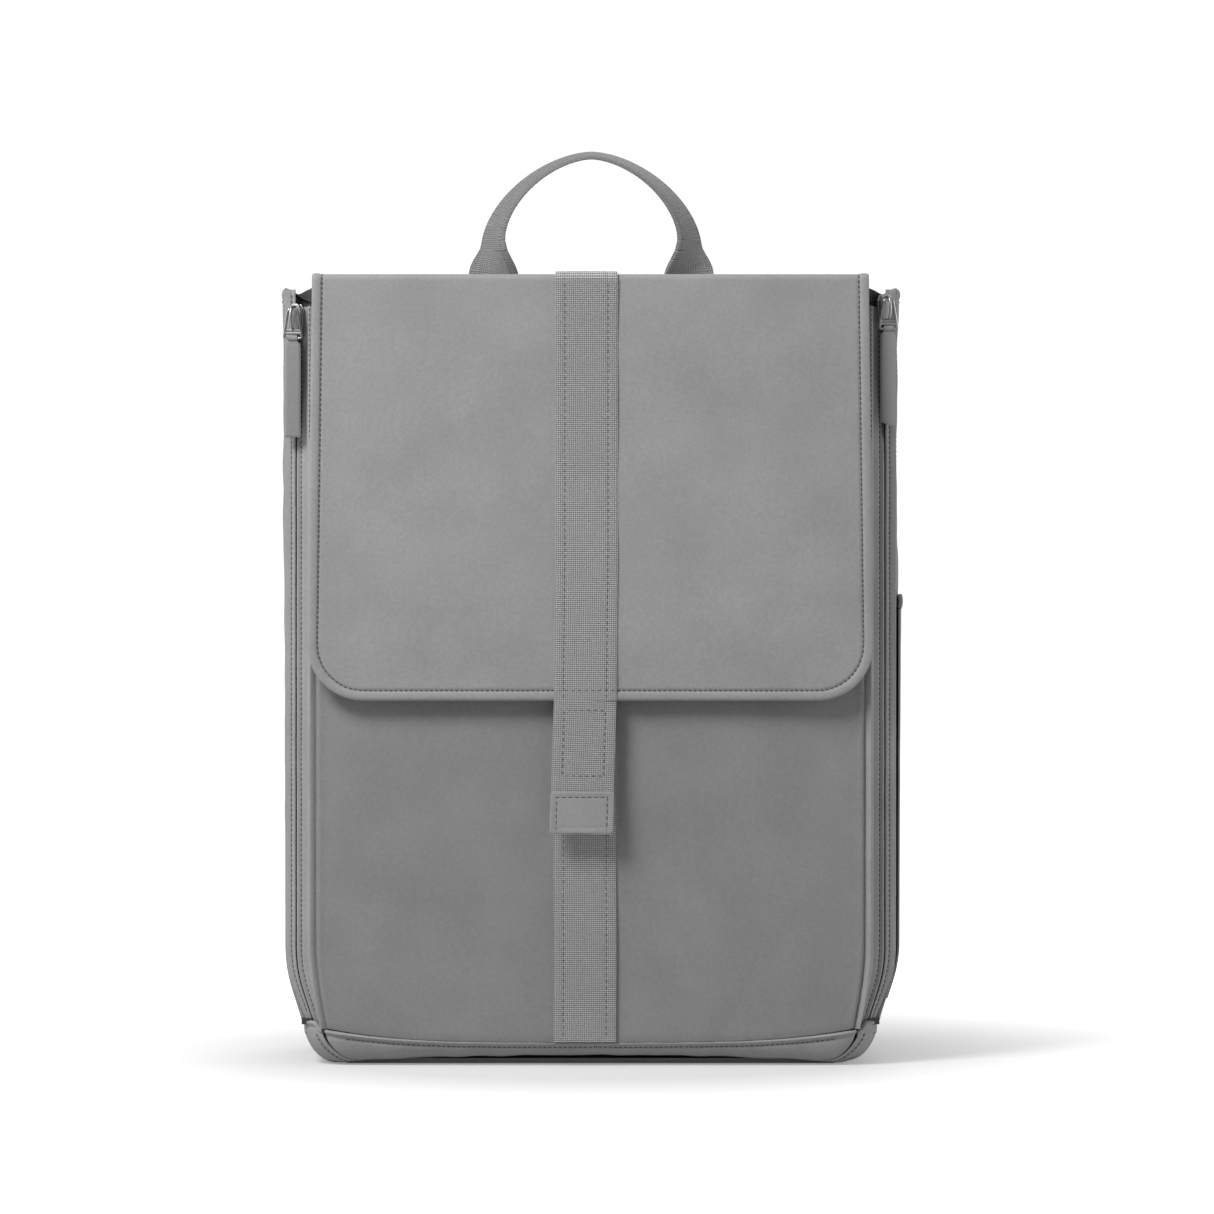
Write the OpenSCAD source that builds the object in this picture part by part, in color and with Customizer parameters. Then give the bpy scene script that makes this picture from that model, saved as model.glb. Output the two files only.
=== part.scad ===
// Changing backpack for baby care gear: a stiffened rectangular bag with a long front flap,
// a webbing closure, two corner zips, a carry handle and padded shoulder straps.
// +X is to the right as seen from the front, -Y is the front, +Z is up, and the floor is at z = 0.

/* [Bag] */
// Width of the front panel
front_w = 284; // [235:1:345]
// Height of the side gussets above the floor
body_h = 401; // [335:1:485]
// Depth from the front panel to the back panel
body_d = 140; // [115:1:180]
// How far the sides bulge past the corner zips at the top
bulge_top = 8; // [3:0.5:14]
// How far the sides bulge past the corner zips at the bottom
bulge_bottom = 2.5; // [0:0.5:8]
// Thickness of the padded outer walls
shell_t = 3; // [2:0.5:4]
// Height of the coated base band at its corners
base_h = 20; // [14:1:30]
// Rise of the front bottom edge above the floor at its middle
base_arch = 5; // [1:0.5:8]

/* [Flap] */
// How far the flap reaches past each edge of the front panel at its top
flap_overhang = 1; // [0:0.5:3]
// Extra width of the flap at its lower edge
flap_flare = 5; // [0:0.5:10]
// Drop of the flap from its fold to its lower edge
flap_drop = 216; // [150:1:280]
// Corner radius of the flap
flap_corner = 29; // [10:1:50]
// Thickness of the flap
flap_t = 2.5; // [1.5:0.5:4]
// How far the lower edge of the flap stands off the front panel
flap_stand_off = 5; // [3:0.5:10]
// How far the top of the flap stands off the front panel
flap_rest = 1.3; // [1.2:0.1:3]

/* [Webbing] */
// Width of the closure webbing
webbing_w = 32; // [20:1:50]
// Thickness of the closure webbing
webbing_t = 1.6; // [1:0.1:2.5]
// Length of the closure tab below the flap
tab_l = 68; // [45:1:90]
// Height of the coated patch on the end of the tab
patch_h = 21.6; // [12:0.2:30]

/* [Handle] */
// Width of the handle webbing
handle_w = 28; // [15:1:34]
// Thickness of the handle webbing
handle_t = 2; // [1.5:0.1:4]
// Distance between the middles of the two handle feet
handle_span = 106; // [80:1:140]
// Height of the handle above the lid
handle_h = 77; // [50:1:95]

/* [Zips] */
// Width of one zip tape
tape_w = 5.4; // [5.2:0.1:7]
// Height of the left slider's middle below the top of the gussets
slider_drop_left = 16; // [10:1:60]
// Height of the right slider's middle below the top of the gussets
slider_drop_right = 11; // [10:1:60]
// Length of the zip pulls
pull_l = 51; // [25:1:60]
// Width of the zip pulls
pull_w = 8.2; // [5:0.1:12]

/* [Side pocket] */
// Height of the pocket's hem above the floor
pocket_top = 243; // [150:1:300]
// Height of the pocket's hem band
hem_h = 8; // [4:1:15]

/* [Back] */
// Thickness of the back pads
back_pad_t = 9; // [5:1:14]
// Width of a shoulder strap
strap_w = 62; // [45:1:75]
// Thickness of a shoulder strap
strap_t = 8; // [5:1:12]
// Width of the lower strap webbing
strap_web_w = 25; // [15:1:32]

/* [Inside] */
// Room for a laptop between the back and the divider
laptop_gap = 26; // [15:1:35]
// Room in the slip pocket behind the front panel
slip_gap = 14; // [6:1:20]
// Thickness of the laptop divider
divider_t = 4; // [2:0.5:6]

/* [Hidden] */
$fn = 48;

// Clearances
seam = 0.3;         // between pieces sewn side by side
free_gap = 0.5;     // between pieces that move past each other
fold_gap = 1.2;     // room that a turning edge needs beside its fold

// Colours
coated = [0.52, 0.52, 0.52];
woven = [0.47, 0.47, 0.47];
dark = [0.30, 0.30, 0.30];
metal = [0.66, 0.66, 0.67];
soft = [0.42, 0.42, 0.42];
plastic = [0.22, 0.22, 0.23];

// Depth stack, which centres the whole bag on y = 0
patch_t = 1;
clasp_t = 2.4;
tab_flare = 2.4;
front_stack = flap_stand_off + flap_t + webbing_t + tab_flare + patch_t;
strap_bow = 7;
back_stack = back_pad_t + strap_bow + strap_t + 2;
front_y = (front_stack - back_stack - body_d) / 2;
back_y = front_y + body_d;

// Walls
front_half = front_w / 2;
edge_roll = 1.2;    // how far the front panel rolls back at its side edges
flap_w = front_w + 2 * flap_overhang;
base_pull = 10;     // how far the walls would draw in at the floor
base_pull_h = 60;   // height over which they draw in
gusset_reach = 8.2; // depth of the front gusset strips
gusset_t = 2;       // thickness of the front gusset strips
gusset_step = 1.5;  // how far their front edges sit behind the front panel
zip_in = front_half + 4.2;
zip_turn = 20;      // how far the zips turn from facing the front to facing the sides
zip_gap = 1;
zip_span = 2 * tape_w + zip_gap;
tape_t = 0.8;
zip_front = front_y + gusset_step + gusset_reach + seam;
zip_x = zip_in + zip_span / 2 * cos(zip_turn);
zip_y = zip_front + zip_span / 2 * sin(zip_turn);
zip_out = zip_in + zip_span * cos(zip_turn);
side_start = zip_front + zip_span * sin(zip_turn) + tape_t / 2 + seam;
back_corner = 13;
back_half = front_half + 8;
side_end = back_y - back_corner - seam;
wall_low = base_h + 1;

// Lid, flap and fold lines
lid_t = 3;
lid_z = body_h + 6;                 // top face of the lid
fold_r = (flap_t + 3.9) / 2;        // half the height of the front fold
fold_y = front_y - flap_rest - flap_t + fold_r;
fold_z = lid_z - fold_r;
yoke_d = 20;
lid_hinge_y = back_y - yoke_d;
lid_hinge_z = lid_z - lid_t / 2;
lid_half = flap_w / 2;
lid_front_y = fold_y + fold_r + free_gap;
flap_low = lid_z - flap_drop - 3;
flap_face = front_y - flap_stand_off - flap_t;  // outer face at the lower edge
tab_top = flap_low - free_gap - fold_gap;
tab_low = flap_low - tab_l;
tab_face = flap_face - webbing_t;
lining_thin = 0.5;
lining_seam = 0.15;
lining_edge = 4;

// Zip hardware
coil_w = 2;
coil_t = 2.2;
coil_low = base_h + 4;
stop_w = 6;
stop_t = 2;
stop_h = 3.2;
coil_high = body_h - 6;
slider_w = 7;
slider_l = 15;
slider_plate = 1.2;
slider_inside = coil_t + 2 * free_gap;
bridge_h = 5;
bridge_w = 1.4;
bridge_bar = 1.1;
bridge_end = 1.2;   // from each end of the slider to its bridge
post_w = 0.6;       // post between the plates, which runs in the gap of the zip
lap = 0.1;          // overlap inside one fused piece
bail_r = 0.6;
bail_leg_r = 0.55;
bail_l = 13.8;
bail_top_w = 5.6;
bail_low_w = 9;
bail_rise = 3.2;    // from the slider's middle up to the bail's upper bar
bail_slack = 0.4;     // how far the bail has slid towards the flap
pull_t = 2.2;
pull_y = front_y + 6;
slider_z_left = body_h - slider_drop_left;
slider_z_right = body_h - slider_drop_right;
bridge_out = slider_inside / 2 + slider_plate + bridge_h - 1.6; // axis of the bail in the bridge
bail_x = zip_x + bridge_out * sin(zip_turn) - bail_slack;
bail_y = zip_y - bridge_out * cos(zip_turn);
pull_hinge_y = pull_y + pull_t / 2;
eye_r = bail_r + 0.25;
eye_wall = 0.9;
eye_w = bail_low_w - 2 * bail_r - 3;

// Handle
handle_y = back_y + 1.4;
handle_hinge_z = lid_z - 3;
handle_foot_l = 22;
handle_twist = 80;
handle_shoulder = 26.5;
handle_top = handle_h - handle_w / 2 * cos(handle_twist) - handle_t / 2;
handle_roundness = 1.7;
handle_steps = 14;

// Base
base_t = 2.5;
seam_dip = 7;       // how far the band's top seam dips in the middle of the front
corner_seam_in = 16;
base_inset = 8;     // how far the front band turns under
base_tuck = 16;     // how far the band turns under at the corners, the sides and the back
base_low = 0.6;
sole_inset = 9;
piping_r = 1;
piping_room = 2 * piping_r + 2 * seam;
base_half = front_half + 6.5;
corner_seam = front_half - corner_seam_in;
base_corner_r = base_half - corner_seam - 1;
ring_front = front_y + 0.8;
ring_back = back_y - 1;
board_z = 9;
board_t = 3;
board_inset = 15;
board_corner = 12;
lining_t = 0.8;
lining_z = board_z + board_t + seam;

// Layers in the back
foam_t = 5;
core_low = 30;
core_w = front_w - 16;
core_corner = 14;
sheet_t = 1.2;
foam_back = back_y - shell_t - seam;
sheet_back = foam_back - foam_t - seam;
lining_back = sheet_back - sheet_t - seam;
lining_front = front_y + shell_t + 1;
lining_half = front_half + 1;
lining_corner = 24;
inner_half = lining_half - lining_t - 8;
divider_back = lining_back - lining_t - laptop_gap;
divider_short = 80; // how much shorter the divider is than the body
slip_t = 2;
slip_h = 200;
slip_back = lining_front + lining_t + slip_gap + slip_t;
inner_corner = 12;

// Shoulder straps
strap_top = body_h - 21;
strap_low = 158;
strap_settle = 55.5;  // from the strap's top down to where it stands clear of the back pads
strap_x_top = 50;
strap_x_low = front_half - 56;
strap_neck = 4;
strap_y = back_y + back_pad_t + 1 + strap_t / 2;
strap_hinge_y = back_y + 3.4;
strap_steps = 12;
lock_h = 20;
lock_t = 4;
lock_y = back_y + back_pad_t + 3;
wing_in = 20;       // how far the wing's point sits inside the side seam
wing_x = front_half - wing_in;
wing_z = 48;
wing_t = 2;
wing_rise = 22;
tail_l = 75;
strap_cloth_t = 1.5;
lock_rim = 4.5;     // side rails of the ladder lock
lock_bar = 3;       // top, middle and bottom bars of the ladder lock
yoke_strip_h = 15;
yoke_strip_t = 2;
strap_taper = 0.72; // width of the strap's lower end beside its top
pad_high = body_h - 55;
pad_low = 120;
pad_w = 96;
pad_x = 62;
pad_corner = 22;
lumbar_low = 40;
lumbar_gap = 6;
lumbar_w = 2 * pad_x + pad_w - 64;

// Front webbing and clasp
webbing_tuck = 17;  // how far below the flap the lower webbing starts
clasp_z = tab_low + patch_h / 2 + 1;
clasp_r = 7;

// Side pocket
pocket_low = 33;
pocket_rise = 30;   // height over which the pocket stands away from the gusset
pocket_inset = 0.06; // share of the gusset's depth left free at each side of the pocket
pocket_steps = 4;

// ---------- Helpers ----------

function mix(a, b, t) = a + (b - a) * t;
function ease(t) = t * t * (3 - 2 * t);
function clamp01(t) = min(1, max(0, t));
function tangent(path, i) =
    let (d = path[min(i + 1, len(path) - 1)] - path[max(i - 1, 0)]) d / norm(d);
function inset(path, t) =
    [for (i = [0:len(path) - 1]) let (d = tangent(path, i)) path[i] + t * [-d[1], d[0]]];
function mirror_path(path) = [for (i = [len(path) - 1:-1:0]) [-path[i][0], path[i][1]]];
function draw_in(z) = 1 - base_pull / front_half * pow(clamp01(1 - z / base_pull_h), 1.5);
function level(path, z) = [for (p = path) [p[0] * draw_in(z), p[1], z]];
function flat_rows(rows) = [for (row = rows) each row];

// Closed solid between two grids of points that have the same rows and columns
module skin(outer, inner) {
    rows = len(outer);
    cols = len(outer[0]);
    count = rows * cols;
    points = concat(flat_rows(outer), flat_rows(inner));
    faces = concat(
        [for (r = [0:rows - 2], c = [0:cols - 2]) [r * cols + c, (r + 1) * cols + c, r * cols + c + 1]],
        [for (r = [0:rows - 2], c = [0:cols - 2])
            [r * cols + c + 1, (r + 1) * cols + c, (r + 1) * cols + c + 1]],
        [for (r = [0:rows - 2], c = [0:cols - 2])
            [count + r * cols + c, count + r * cols + c + 1, count + (r + 1) * cols + c]],
        [for (r = [0:rows - 2], c = [0:cols - 2])
            [count + r * cols + c + 1, count + (r + 1) * cols + c + 1, count + (r + 1) * cols + c]],
        [for (c = [0:cols - 2]) [c, c + 1, count + c]],
        [for (c = [0:cols - 2]) [c + 1, count + c + 1, count + c]],
        let (b = (rows - 1) * cols) [for (c = [0:cols - 2]) [b + c, count + b + c, b + c + 1]],
        let (b = (rows - 1) * cols)
            [for (c = [0:cols - 2]) [b + c + 1, count + b + c, count + b + c + 1]],
        [for (r = [0:rows - 2]) [r * cols, count + r * cols, (r + 1) * cols]],
        [for (r = [0:rows - 2]) [(r + 1) * cols, count + r * cols, count + (r + 1) * cols]],
        [for (r = [0:rows - 2]) let (k = r * cols + cols - 1) [k, k + cols, count + k]],
        [for (r = [0:rows - 2]) let (k = r * cols + cols - 1) [k + cols, count + k + cols, count + k]]
    );
    polyhedron(points, faces, convexity = 6);
}

// Upright wall whose plan outline may change with height; the plan runs anticlockwise
module wall(plans, heights, t) {
    skin(
        [for (i = [0:len(heights) - 1]) level(plans[i], heights[i])],
        [for (i = [0:len(heights) - 1]) level(inset(plans[i], t), heights[i])]
    );
}

function steps(low, high, count) = [for (i = [0:count]) mix(low, high, i / count)];

foot_heights = steps(wall_low, base_pull_h, 4);
heights_wall = concat(foot_heights, steps(base_pull_h + 10, body_h, 6));

module rounded_block(size, r) {
    linear_extrude(size[2]) {
        hull() {
            for (x = [-1, 1], y = [-1, 1]) {
                translate([x * (size[0] / 2 - r), y * (size[1] / 2 - r)]) circle(r, $fn = 24);
            }
        }
    }
}

// Flat block standing in the XZ plane, with rounded corners, its inner face at y
module upright_pad(x, y, z, w, h, t, r) {
    translate([x, y + t, z + h / 2]) rotate([90, 0, 0]) rounded_block([w, h, t], r);
}

module box_between(low, high) {
    translate(low) cube(high - low);
}

module mirrored(side) {
    if (side < 0) mirror([1, 0, 0]) children();
    else children();
}

// ---------- Outer walls ----------

function front_plan() =
    [for (t = steps(-1, 1, 16)) [t * (front_half - seam), front_y + edge_roll * pow(abs(t), 12)]];
function front_gusset_plan() =
    [for (a = steps(0, 90, 5))
        [mix(front_half + gusset_t + seam, zip_in, sin(a)),
         front_y + gusset_step + gusset_reach * (1 - cos(a))]];
function side_x(u, z) =
    mix(zip_out + seam, back_half - seam, u) + mix(bulge_bottom, bulge_top, z / body_h) * sin(180 * u);
function side_plan(z) = [for (u = steps(0, 1, 8)) [side_x(u, z), mix(side_start, side_end, u)]];
function back_arc() =
    [for (a = steps(0, 90, 5))
        [back_half - back_corner * (1 - cos(a)), back_y - back_corner + back_corner * sin(a)]];
function back_plan() = concat(back_arc(), [[0, back_y]], mirror_path(back_arc()));

module front_panel() {
    heights = concat(foot_heights, steps(base_pull_h + 10, body_h - 2, 6));
    low = [for (p = front_plan()) [p[0] * draw_in(base_h), p[1], front_seam_z(p[0]) + seam]];
    low_in = [for (p = inset(front_plan(), shell_t))
        [p[0] * draw_in(base_h), p[1], front_seam_z(p[0]) + seam]];
    color(coated)
        skin(
            concat([low], [for (z = heights) level(front_plan(), z)]),
            concat([low_in], [for (z = heights) level(inset(front_plan(), shell_t), z)])
        );
}

module front_gusset(side) {
    color(coated)
        mirrored(side)
            wall([for (z = heights_wall) front_gusset_plan()], heights_wall, gusset_t);
}

module side_gusset(side) {
    color(coated)
        mirrored(side)
            wall([for (z = heights_wall) side_plan(z)], heights_wall, shell_t);
}

module back_panel() {
    heights = concat(foot_heights, steps(base_pull_h + 10, body_h - 1, 4), [lid_z - lid_t - seam]);
    color(soft) wall([for (z = heights) back_plan()], heights, shell_t);
}

// Short strip over the top of the back panel, which the lid folds along
module top_yoke() {
    color(coated)
        box_between(
            [-lid_half, lid_hinge_y + lid_t / 2 + free_gap, lid_z - lid_t],
            [lid_half, back_y, lid_z]
        );
}

// ---------- Base ----------

function front_seam_z(x) = mix(base_h - seam_dip, base_h, pow(abs(x) / front_half, 4));
function arch_z(x) = base_low + (base_arch - base_low) * pow(clamp01(1 - pow(x / corner_seam, 2)), 0.6);
function ring(half, y, r) = concat(
    [[corner_seam + seam, y]],
    [for (a = steps(0, 90, 6)) [half - r * (1 - sin(a)), y + r * (1 - cos(a))]]
);

// Underside: a raised panel inside the band, which reaches forward between the corners,
// with a slightly smaller sole that meets the floor
module base_panel() {
    low_y = ring_front + base_tuck + seam;
    high_y = ring_back - base_tuck - seam;
    half = base_half - base_tuck - seam;
    corner = base_corner_r - base_tuck - seam;
    color(dark)
        translate([0, (low_y + high_y) / 2, 0])
            union() {
                translate([0, 0, base_low]) rounded_block([2 * half, high_y - low_y, base_t], corner);
                rounded_block(
                    [2 * (half - sole_inset), high_y - low_y - 2 * sole_inset, base_t], corner
                );
                translate([-corner_seam, ring_front + base_inset + piping_room - (low_y + high_y) / 2, base_low])
                    cube([2 * corner_seam, base_tuck - base_inset + corner, base_t]);
            }
}

module base_board() {
    color(plastic)
        translate([0, (lining_front + lining_back) / 2, board_z])
            rounded_block(
                [2 * (lining_half - board_inset), lining_back - lining_front - board_inset, board_t],
                board_corner
            );
}

// One strip of the base band: a quarter round that hangs from its top edge and turns under
module base_strip(plan, tops, lows, inset) {
    turns = steps(0, 90, 5);
    count = len(plan) - 1;
    normals = [for (i = [0:count]) let (d = tangent(plan, i)) [-d[1], d[0]]];
    outer = [for (a = turns) [for (i = [0:count])
        let (off = inset * (1 - cos(a)))
            [each (plan[i] + off * normals[i]), mix(tops[i], lows[i], sin(a))]]];
    inner = [for (a = turns) [for (i = [0:count])
        let (off = inset - (inset - base_t) * cos(a))
            [each (plan[i] + off * normals[i]), mix(tops[i], lows[i] + base_t, sin(a))]]];
    skin(inner, outer);
}

module base_band_front() {
    xs = steps(seam - corner_seam, corner_seam - seam, 16);
    color(coated)
        base_strip(
            [for (x = xs) [x, ring_front]], [for (x = xs) front_seam_z(x) - seam],
            [for (x = xs) arch_z(x)], base_inset
        );
}

module base_corner(side) {
    plan = concat(ring(base_half, ring_front, base_corner_r), [[base_half, -seam / 2]]);
    color(coated)
        mirrored(side)
            base_strip(
                plan, [for (p = plan) front_seam_z(min(p[0], front_half)) - seam],
                [for (p = plan) base_low], base_tuck
            );
}

module base_band_back() {
    half = concat([[base_half, seam / 2]], [for (a = steps(0, 90, 6))
        [base_half - base_corner_r * (1 - cos(a)), ring_back - base_corner_r * (1 - sin(a))]]);
    plan = concat(half, mirror_path(half));
    color(coated)
        base_strip(plan, [for (p = plan) base_h - seam], [for (p = plan) base_low], base_tuck);
}

// Piping along the lower front edge, behind the band
module base_piping() {
    xs = steps(-corner_seam + 4, corner_seam - 4, 16);
    turns = steps(-90, 90, 4);
    y = ring_front + base_inset + seam + piping_r;
    color(dark)
        skin(
            [for (a = turns) [for (x = xs)
                [x, y - piping_r * cos(a), arch_z(x) + piping_r * (1 + sin(a))]]],
            [for (a = turns) [for (x = xs)
                [x, y + piping_r * cos(a) + 0.1, arch_z(x) + piping_r * (1 + sin(a))]]]
        );
}

// ---------- Inside ----------

module lining_outline(extra) {
    hull() {
        for (x = [-1, 1], y = [lining_front + lining_corner, lining_back - lining_corner]) {
            translate([x * (lining_half - lining_corner), y]) circle(lining_corner + extra, $fn = 48);
        }
    }
}

module lining() {
    color(dark)
        difference() {
            translate([0, 0, lining_z]) linear_extrude(body_h - 8 - lining_z) lining_outline(0);
            translate([0, 0, lining_z + lining_t]) linear_extrude(body_h) lining_outline(-lining_t);
        }
}

module laptop_divider() {
    color(dark)
        upright_pad(
            0, divider_back - divider_t, lining_z + lining_t,
            2 * inner_half, body_h - divider_short, divider_t, inner_corner
        );
}

module slip_pocket() {
    color(dark)
        upright_pad(
            0, slip_back - slip_t, lining_z + lining_t, 2 * inner_half, slip_h, slip_t, inner_corner
        );
}

module frame_sheet() {
    color(plastic)
        upright_pad(0, sheet_back - sheet_t, core_low, core_w, body_h - 20 - core_low, sheet_t, core_corner);
}

module back_foam() {
    color(soft)
        upright_pad(0, foam_back - foam_t, core_low, core_w, body_h - 20 - core_low, foam_t, core_corner);
}

// ---------- Back pads ----------

module back_pad(side) {
    color(soft)
        upright_pad(
            side * pad_x, back_y + seam, pad_low, pad_w, pad_high - pad_low, back_pad_t, pad_corner
        );
}

module back_pad_lumbar() {
    color(soft)
        upright_pad(
            0, back_y + seam, lumbar_low, lumbar_w, pad_low - lumbar_gap - lumbar_low, back_pad_t, pad_corner
        );
}

// ---------- Zips ----------

// Places its children on a corner zip with their face outwards; local x runs across the zip
module on_zip(z) {
    translate([zip_x * draw_in(z), zip_y, z]) rotate([0, 0, zip_turn]) children();
}

function zip_point(across, deep, z) =
    [(zip_x + across * cos(zip_turn) - deep * sin(zip_turn)) * draw_in(z),
     zip_y + across * sin(zip_turn) + deep * cos(zip_turn), z];

// Upright strip of a zip between two places across it and two depths, drawn in at its foot
module zip_strip(start, width, deep, t, low, high) {
    heights = concat(steps(low, base_pull_h, 4), [high]);
    skin(
        [for (z = heights) [zip_point(start, deep, z), zip_point(start + width, deep, z)]],
        [for (z = heights) [zip_point(start, deep + t, z), zip_point(start + width, deep + t, z)]]
    );
}

module zip_tape(side) {
    color(woven)
        mirrored(side)
            for (half = [-1, 1]) {
                zip_strip(
                    half * (zip_gap + tape_w) / 2 - tape_w / 2, tape_w, -tape_t / 2, tape_t,
                    coil_low, coil_high
                );
            }
}

module zip_coil(side) {
    color(dark)
        mirrored(side)
            for (half = [-1, 1]) {
                zip_strip(
                    half * (zip_gap + coil_w) / 2 - coil_w / 2, coil_w, tape_t / 2 + lap, coil_t / 2,
                    coil_low + 2, coil_high - 2
                );
            }
}

// Metal stop across the foot of each zip
module zip_stops() {
    color(metal)
        for (side = [-1, 1]) {
            mirrored(side)
                on_zip(coil_low - stop_h - seam)
                    translate([-stop_w / 2, -stop_t / 2, 0])
                        cube([stop_w, stop_t, stop_h]);
        }
}

module slider(side, z) {
    half_gap = slider_inside / 2;
    color(metal)
        mirrored(side)
            on_zip(z - slider_l / 2)
                union() {
                    translate([-slider_w / 2, -half_gap - slider_plate, 0])
                        cube([slider_w, slider_plate, slider_l]);
                    translate([-slider_w / 2, half_gap, 0]) cube([slider_w, slider_plate, slider_l]);
                    translate([-post_w / 2, -half_gap - lap, slider_l - 5])
                        cube([post_w, slider_inside + 2 * lap, 4]);
                    for (foot = [bridge_end, slider_l - bridge_end - bridge_bar * 2]) {
                        translate([-bridge_w / 2, -half_gap - slider_plate - bridge_h, foot])
                            cube([bridge_w, bridge_h + lap, bridge_bar * 2]);
                    }
                    translate([-bridge_w / 2, -half_gap - slider_plate - bridge_h - bridge_bar, bridge_end])
                        cube([bridge_w, bridge_bar, slider_l - 2 * bridge_end]);
                }
}

module rod(a, b, r) {
    d = b - a;
    translate(a)
        rotate([0, acos(d[2] / norm(d)), atan2(d[1], d[0])])
            cylinder(h = norm(d), r = r);
}

// Wire link shaped like a letter A: a short bar in the bridge, two legs and a bottom bar
module bail(side, z) {
    top = [bail_x, bail_y, z + bail_rise];
    low = [bail_x, pull_hinge_y, z + bail_rise - bail_l];
    color(metal)
        mirrored(side)
            union() {
                rod(top - [bail_top_w / 2 + bail_r, 0, 0], top + [bail_top_w / 2 + bail_r, 0, 0], bail_r);
                for (x = [-1, 1]) {
                    rod(top + [x * bail_top_w / 2, 0, 0], low + [x * bail_low_w / 2, 0, 0], bail_leg_r);
                }
                rod(low - [bail_low_w / 2 + bail_r, 0, 0], low + [bail_low_w / 2 + bail_r, 0, 0], bail_r);
            }
}

// Flat coated pull whose folded top wraps the bail's lower bar
module pull(side, z, slant) {
    axis_z = z + bail_rise - bail_l;
    color(coated)
        mirrored(side)
            difference() {
                union() {
                    translate([bail_x - eye_w / 2, pull_hinge_y, axis_z])
                        rotate([0, 90, 0]) cylinder(h = eye_w, r = eye_r + eye_wall, $fn = 32);
                    translate([bail_x - pull_w / 2, pull_hinge_y - pull_t / 2, axis_z - pull_l])
                        cube([pull_w, pull_t, pull_l - 2.6]);
                    translate([bail_x - eye_w / 2, pull_hinge_y - pull_t / 2, axis_z - 4])
                        cube([eye_w, pull_t, 3]);
                }
                translate([bail_x - pull_w, pull_hinge_y, axis_z])
                    rotate([0, 90, 0]) cylinder(h = 2 * pull_w, r = eye_r, $fn = 32);
                translate([bail_x, pull_hinge_y, axis_z - pull_l])
                    rotate([0, slant, 0])
                        translate([-pull_w, -pull_t, -pull_w])
                            cube([2 * pull_w, 2 * pull_t, pull_w]);
            }
}

// ---------- Front webbing and clasp ----------

module front_webbing() {
    color(woven)
        box_between(
            [-webbing_w / 2, front_y - seam - webbing_t, base_h - seam_dip + 1],
            [webbing_w / 2, front_y - seam, tab_low + tab_l - webbing_tuck]
        );
}

module clasp_base() {
    color(metal)
        translate([0, front_y - seam - webbing_t, clasp_z])
            rotate([90, 0, 0]) cylinder(h = clasp_t, r = clasp_r);
}

// ---------- Side pocket ----------

module pocket_wall(low, high, out, t) {
    heights = low < base_pull_h
        ? concat(steps(low, base_pull_h, 3), steps(base_pull_h + 20, high, pocket_steps))
        : steps(low, high, 2);
    us = steps(pocket_inset, 1 - pocket_inset, 8);
    gap = [for (z = heights) out * clamp01((z - pocket_low) / pocket_rise) + t + seam];
    color(coated)
        wall(
            [for (i = [0:len(heights) - 1])
                [for (u = us) [side_x(u, heights[i]) + gap[i], mix(side_start, side_end, u)]]],
            heights, t
        );
}

module side_pocket() {
    pocket_wall(pocket_low, pocket_top - hem_h - seam, 0.7, 1.2);
}

module pocket_hem() {
    pocket_wall(pocket_top - hem_h, pocket_top, 0.5, 1.9);
}

// ---------- Handle ----------

module handle_feet() {
    color(woven)
        for (side = [-1, 1]) {
            box_between(
                [side * handle_span / 2 - handle_w / 2, back_y + seam, handle_hinge_z - handle_foot_l],
                [side * handle_span / 2 + handle_w / 2, back_y + seam + handle_t, handle_hinge_z - 0.6]
            );
        }
}

// Left half of the handle's middle line as [x, height above the lid, twist]
function handle_route() = concat(
    [[-handle_span / 2, handle_hinge_z + 1.4 - lid_z, 0]],
    [for (t = [0, 0.33, 0.66])
        [-handle_span / 2, mix(1.5, handle_shoulder, t), handle_twist * 0.8 * ease(t)]],
    [for (a = steps(0, 90, handle_steps))
        let (c = pow(cos(a), 2 / handle_roundness), s = pow(sin(a), 2 / handle_roundness))
            [-handle_span / 2 * c, mix(handle_shoulder, handle_top, s),
             handle_twist * mix(0.8, 1, sin(a))]]
);
function both_halves(half) =
    concat(half, [for (i = [len(half) - 2:-1:0]) [-half[i][0], half[i][1], half[i][2]]]);

module carry_handle() {
    route = both_halves(handle_route());
    last = len(route) - 1;
    stations = [for (i = [0:last])
        let (
            step = route[min(i + 1, last)] - route[max(i - 1, 0)],
            along = [step[0], 0, step[1]] / norm([step[0], step[1]]),
            across = [-along[2], 0, along[0]],
            wide = cos(route[i][2]) * across + sin(route[i][2]) * [0, 1, 0],
            thick = cross(along, wide),
            centre = [route[i][0], handle_y, lid_z + route[i][1]]
        ) [centre, wide * handle_w / 2, thick * handle_t / 2]];
    color(woven)
        skin(
            [for (s = stations) [for (k = steps(-1, 1, 2)) s[0] + k * s[1] + s[2]]],
            [for (s = stations) [for (k = steps(-1, 1, 2)) s[0] + k * s[1] - s[2]]]
        );
}

// ---------- Lid, flap and tab ----------

module lid_panel() {
    color(coated)
        union() {
            box_between([-lid_half, lid_front_y, lid_z - lid_t], [lid_half, lid_hinge_y, lid_z]);
            translate([-lid_half, lid_hinge_y, lid_hinge_z])
                rotate([0, 90, 0]) cylinder(h = 2 * lid_half, r = lid_t / 2, $fn = 32);
        }
}

module lid_webbing() {
    color(woven)
        box_between(
            [-webbing_w / 2, lid_front_y + webbing_t + free_gap, lid_z + lap],
            [webbing_w / 2, lid_hinge_y - 2 * lid_t + 2, lid_z + webbing_t]
        );
}

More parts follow.
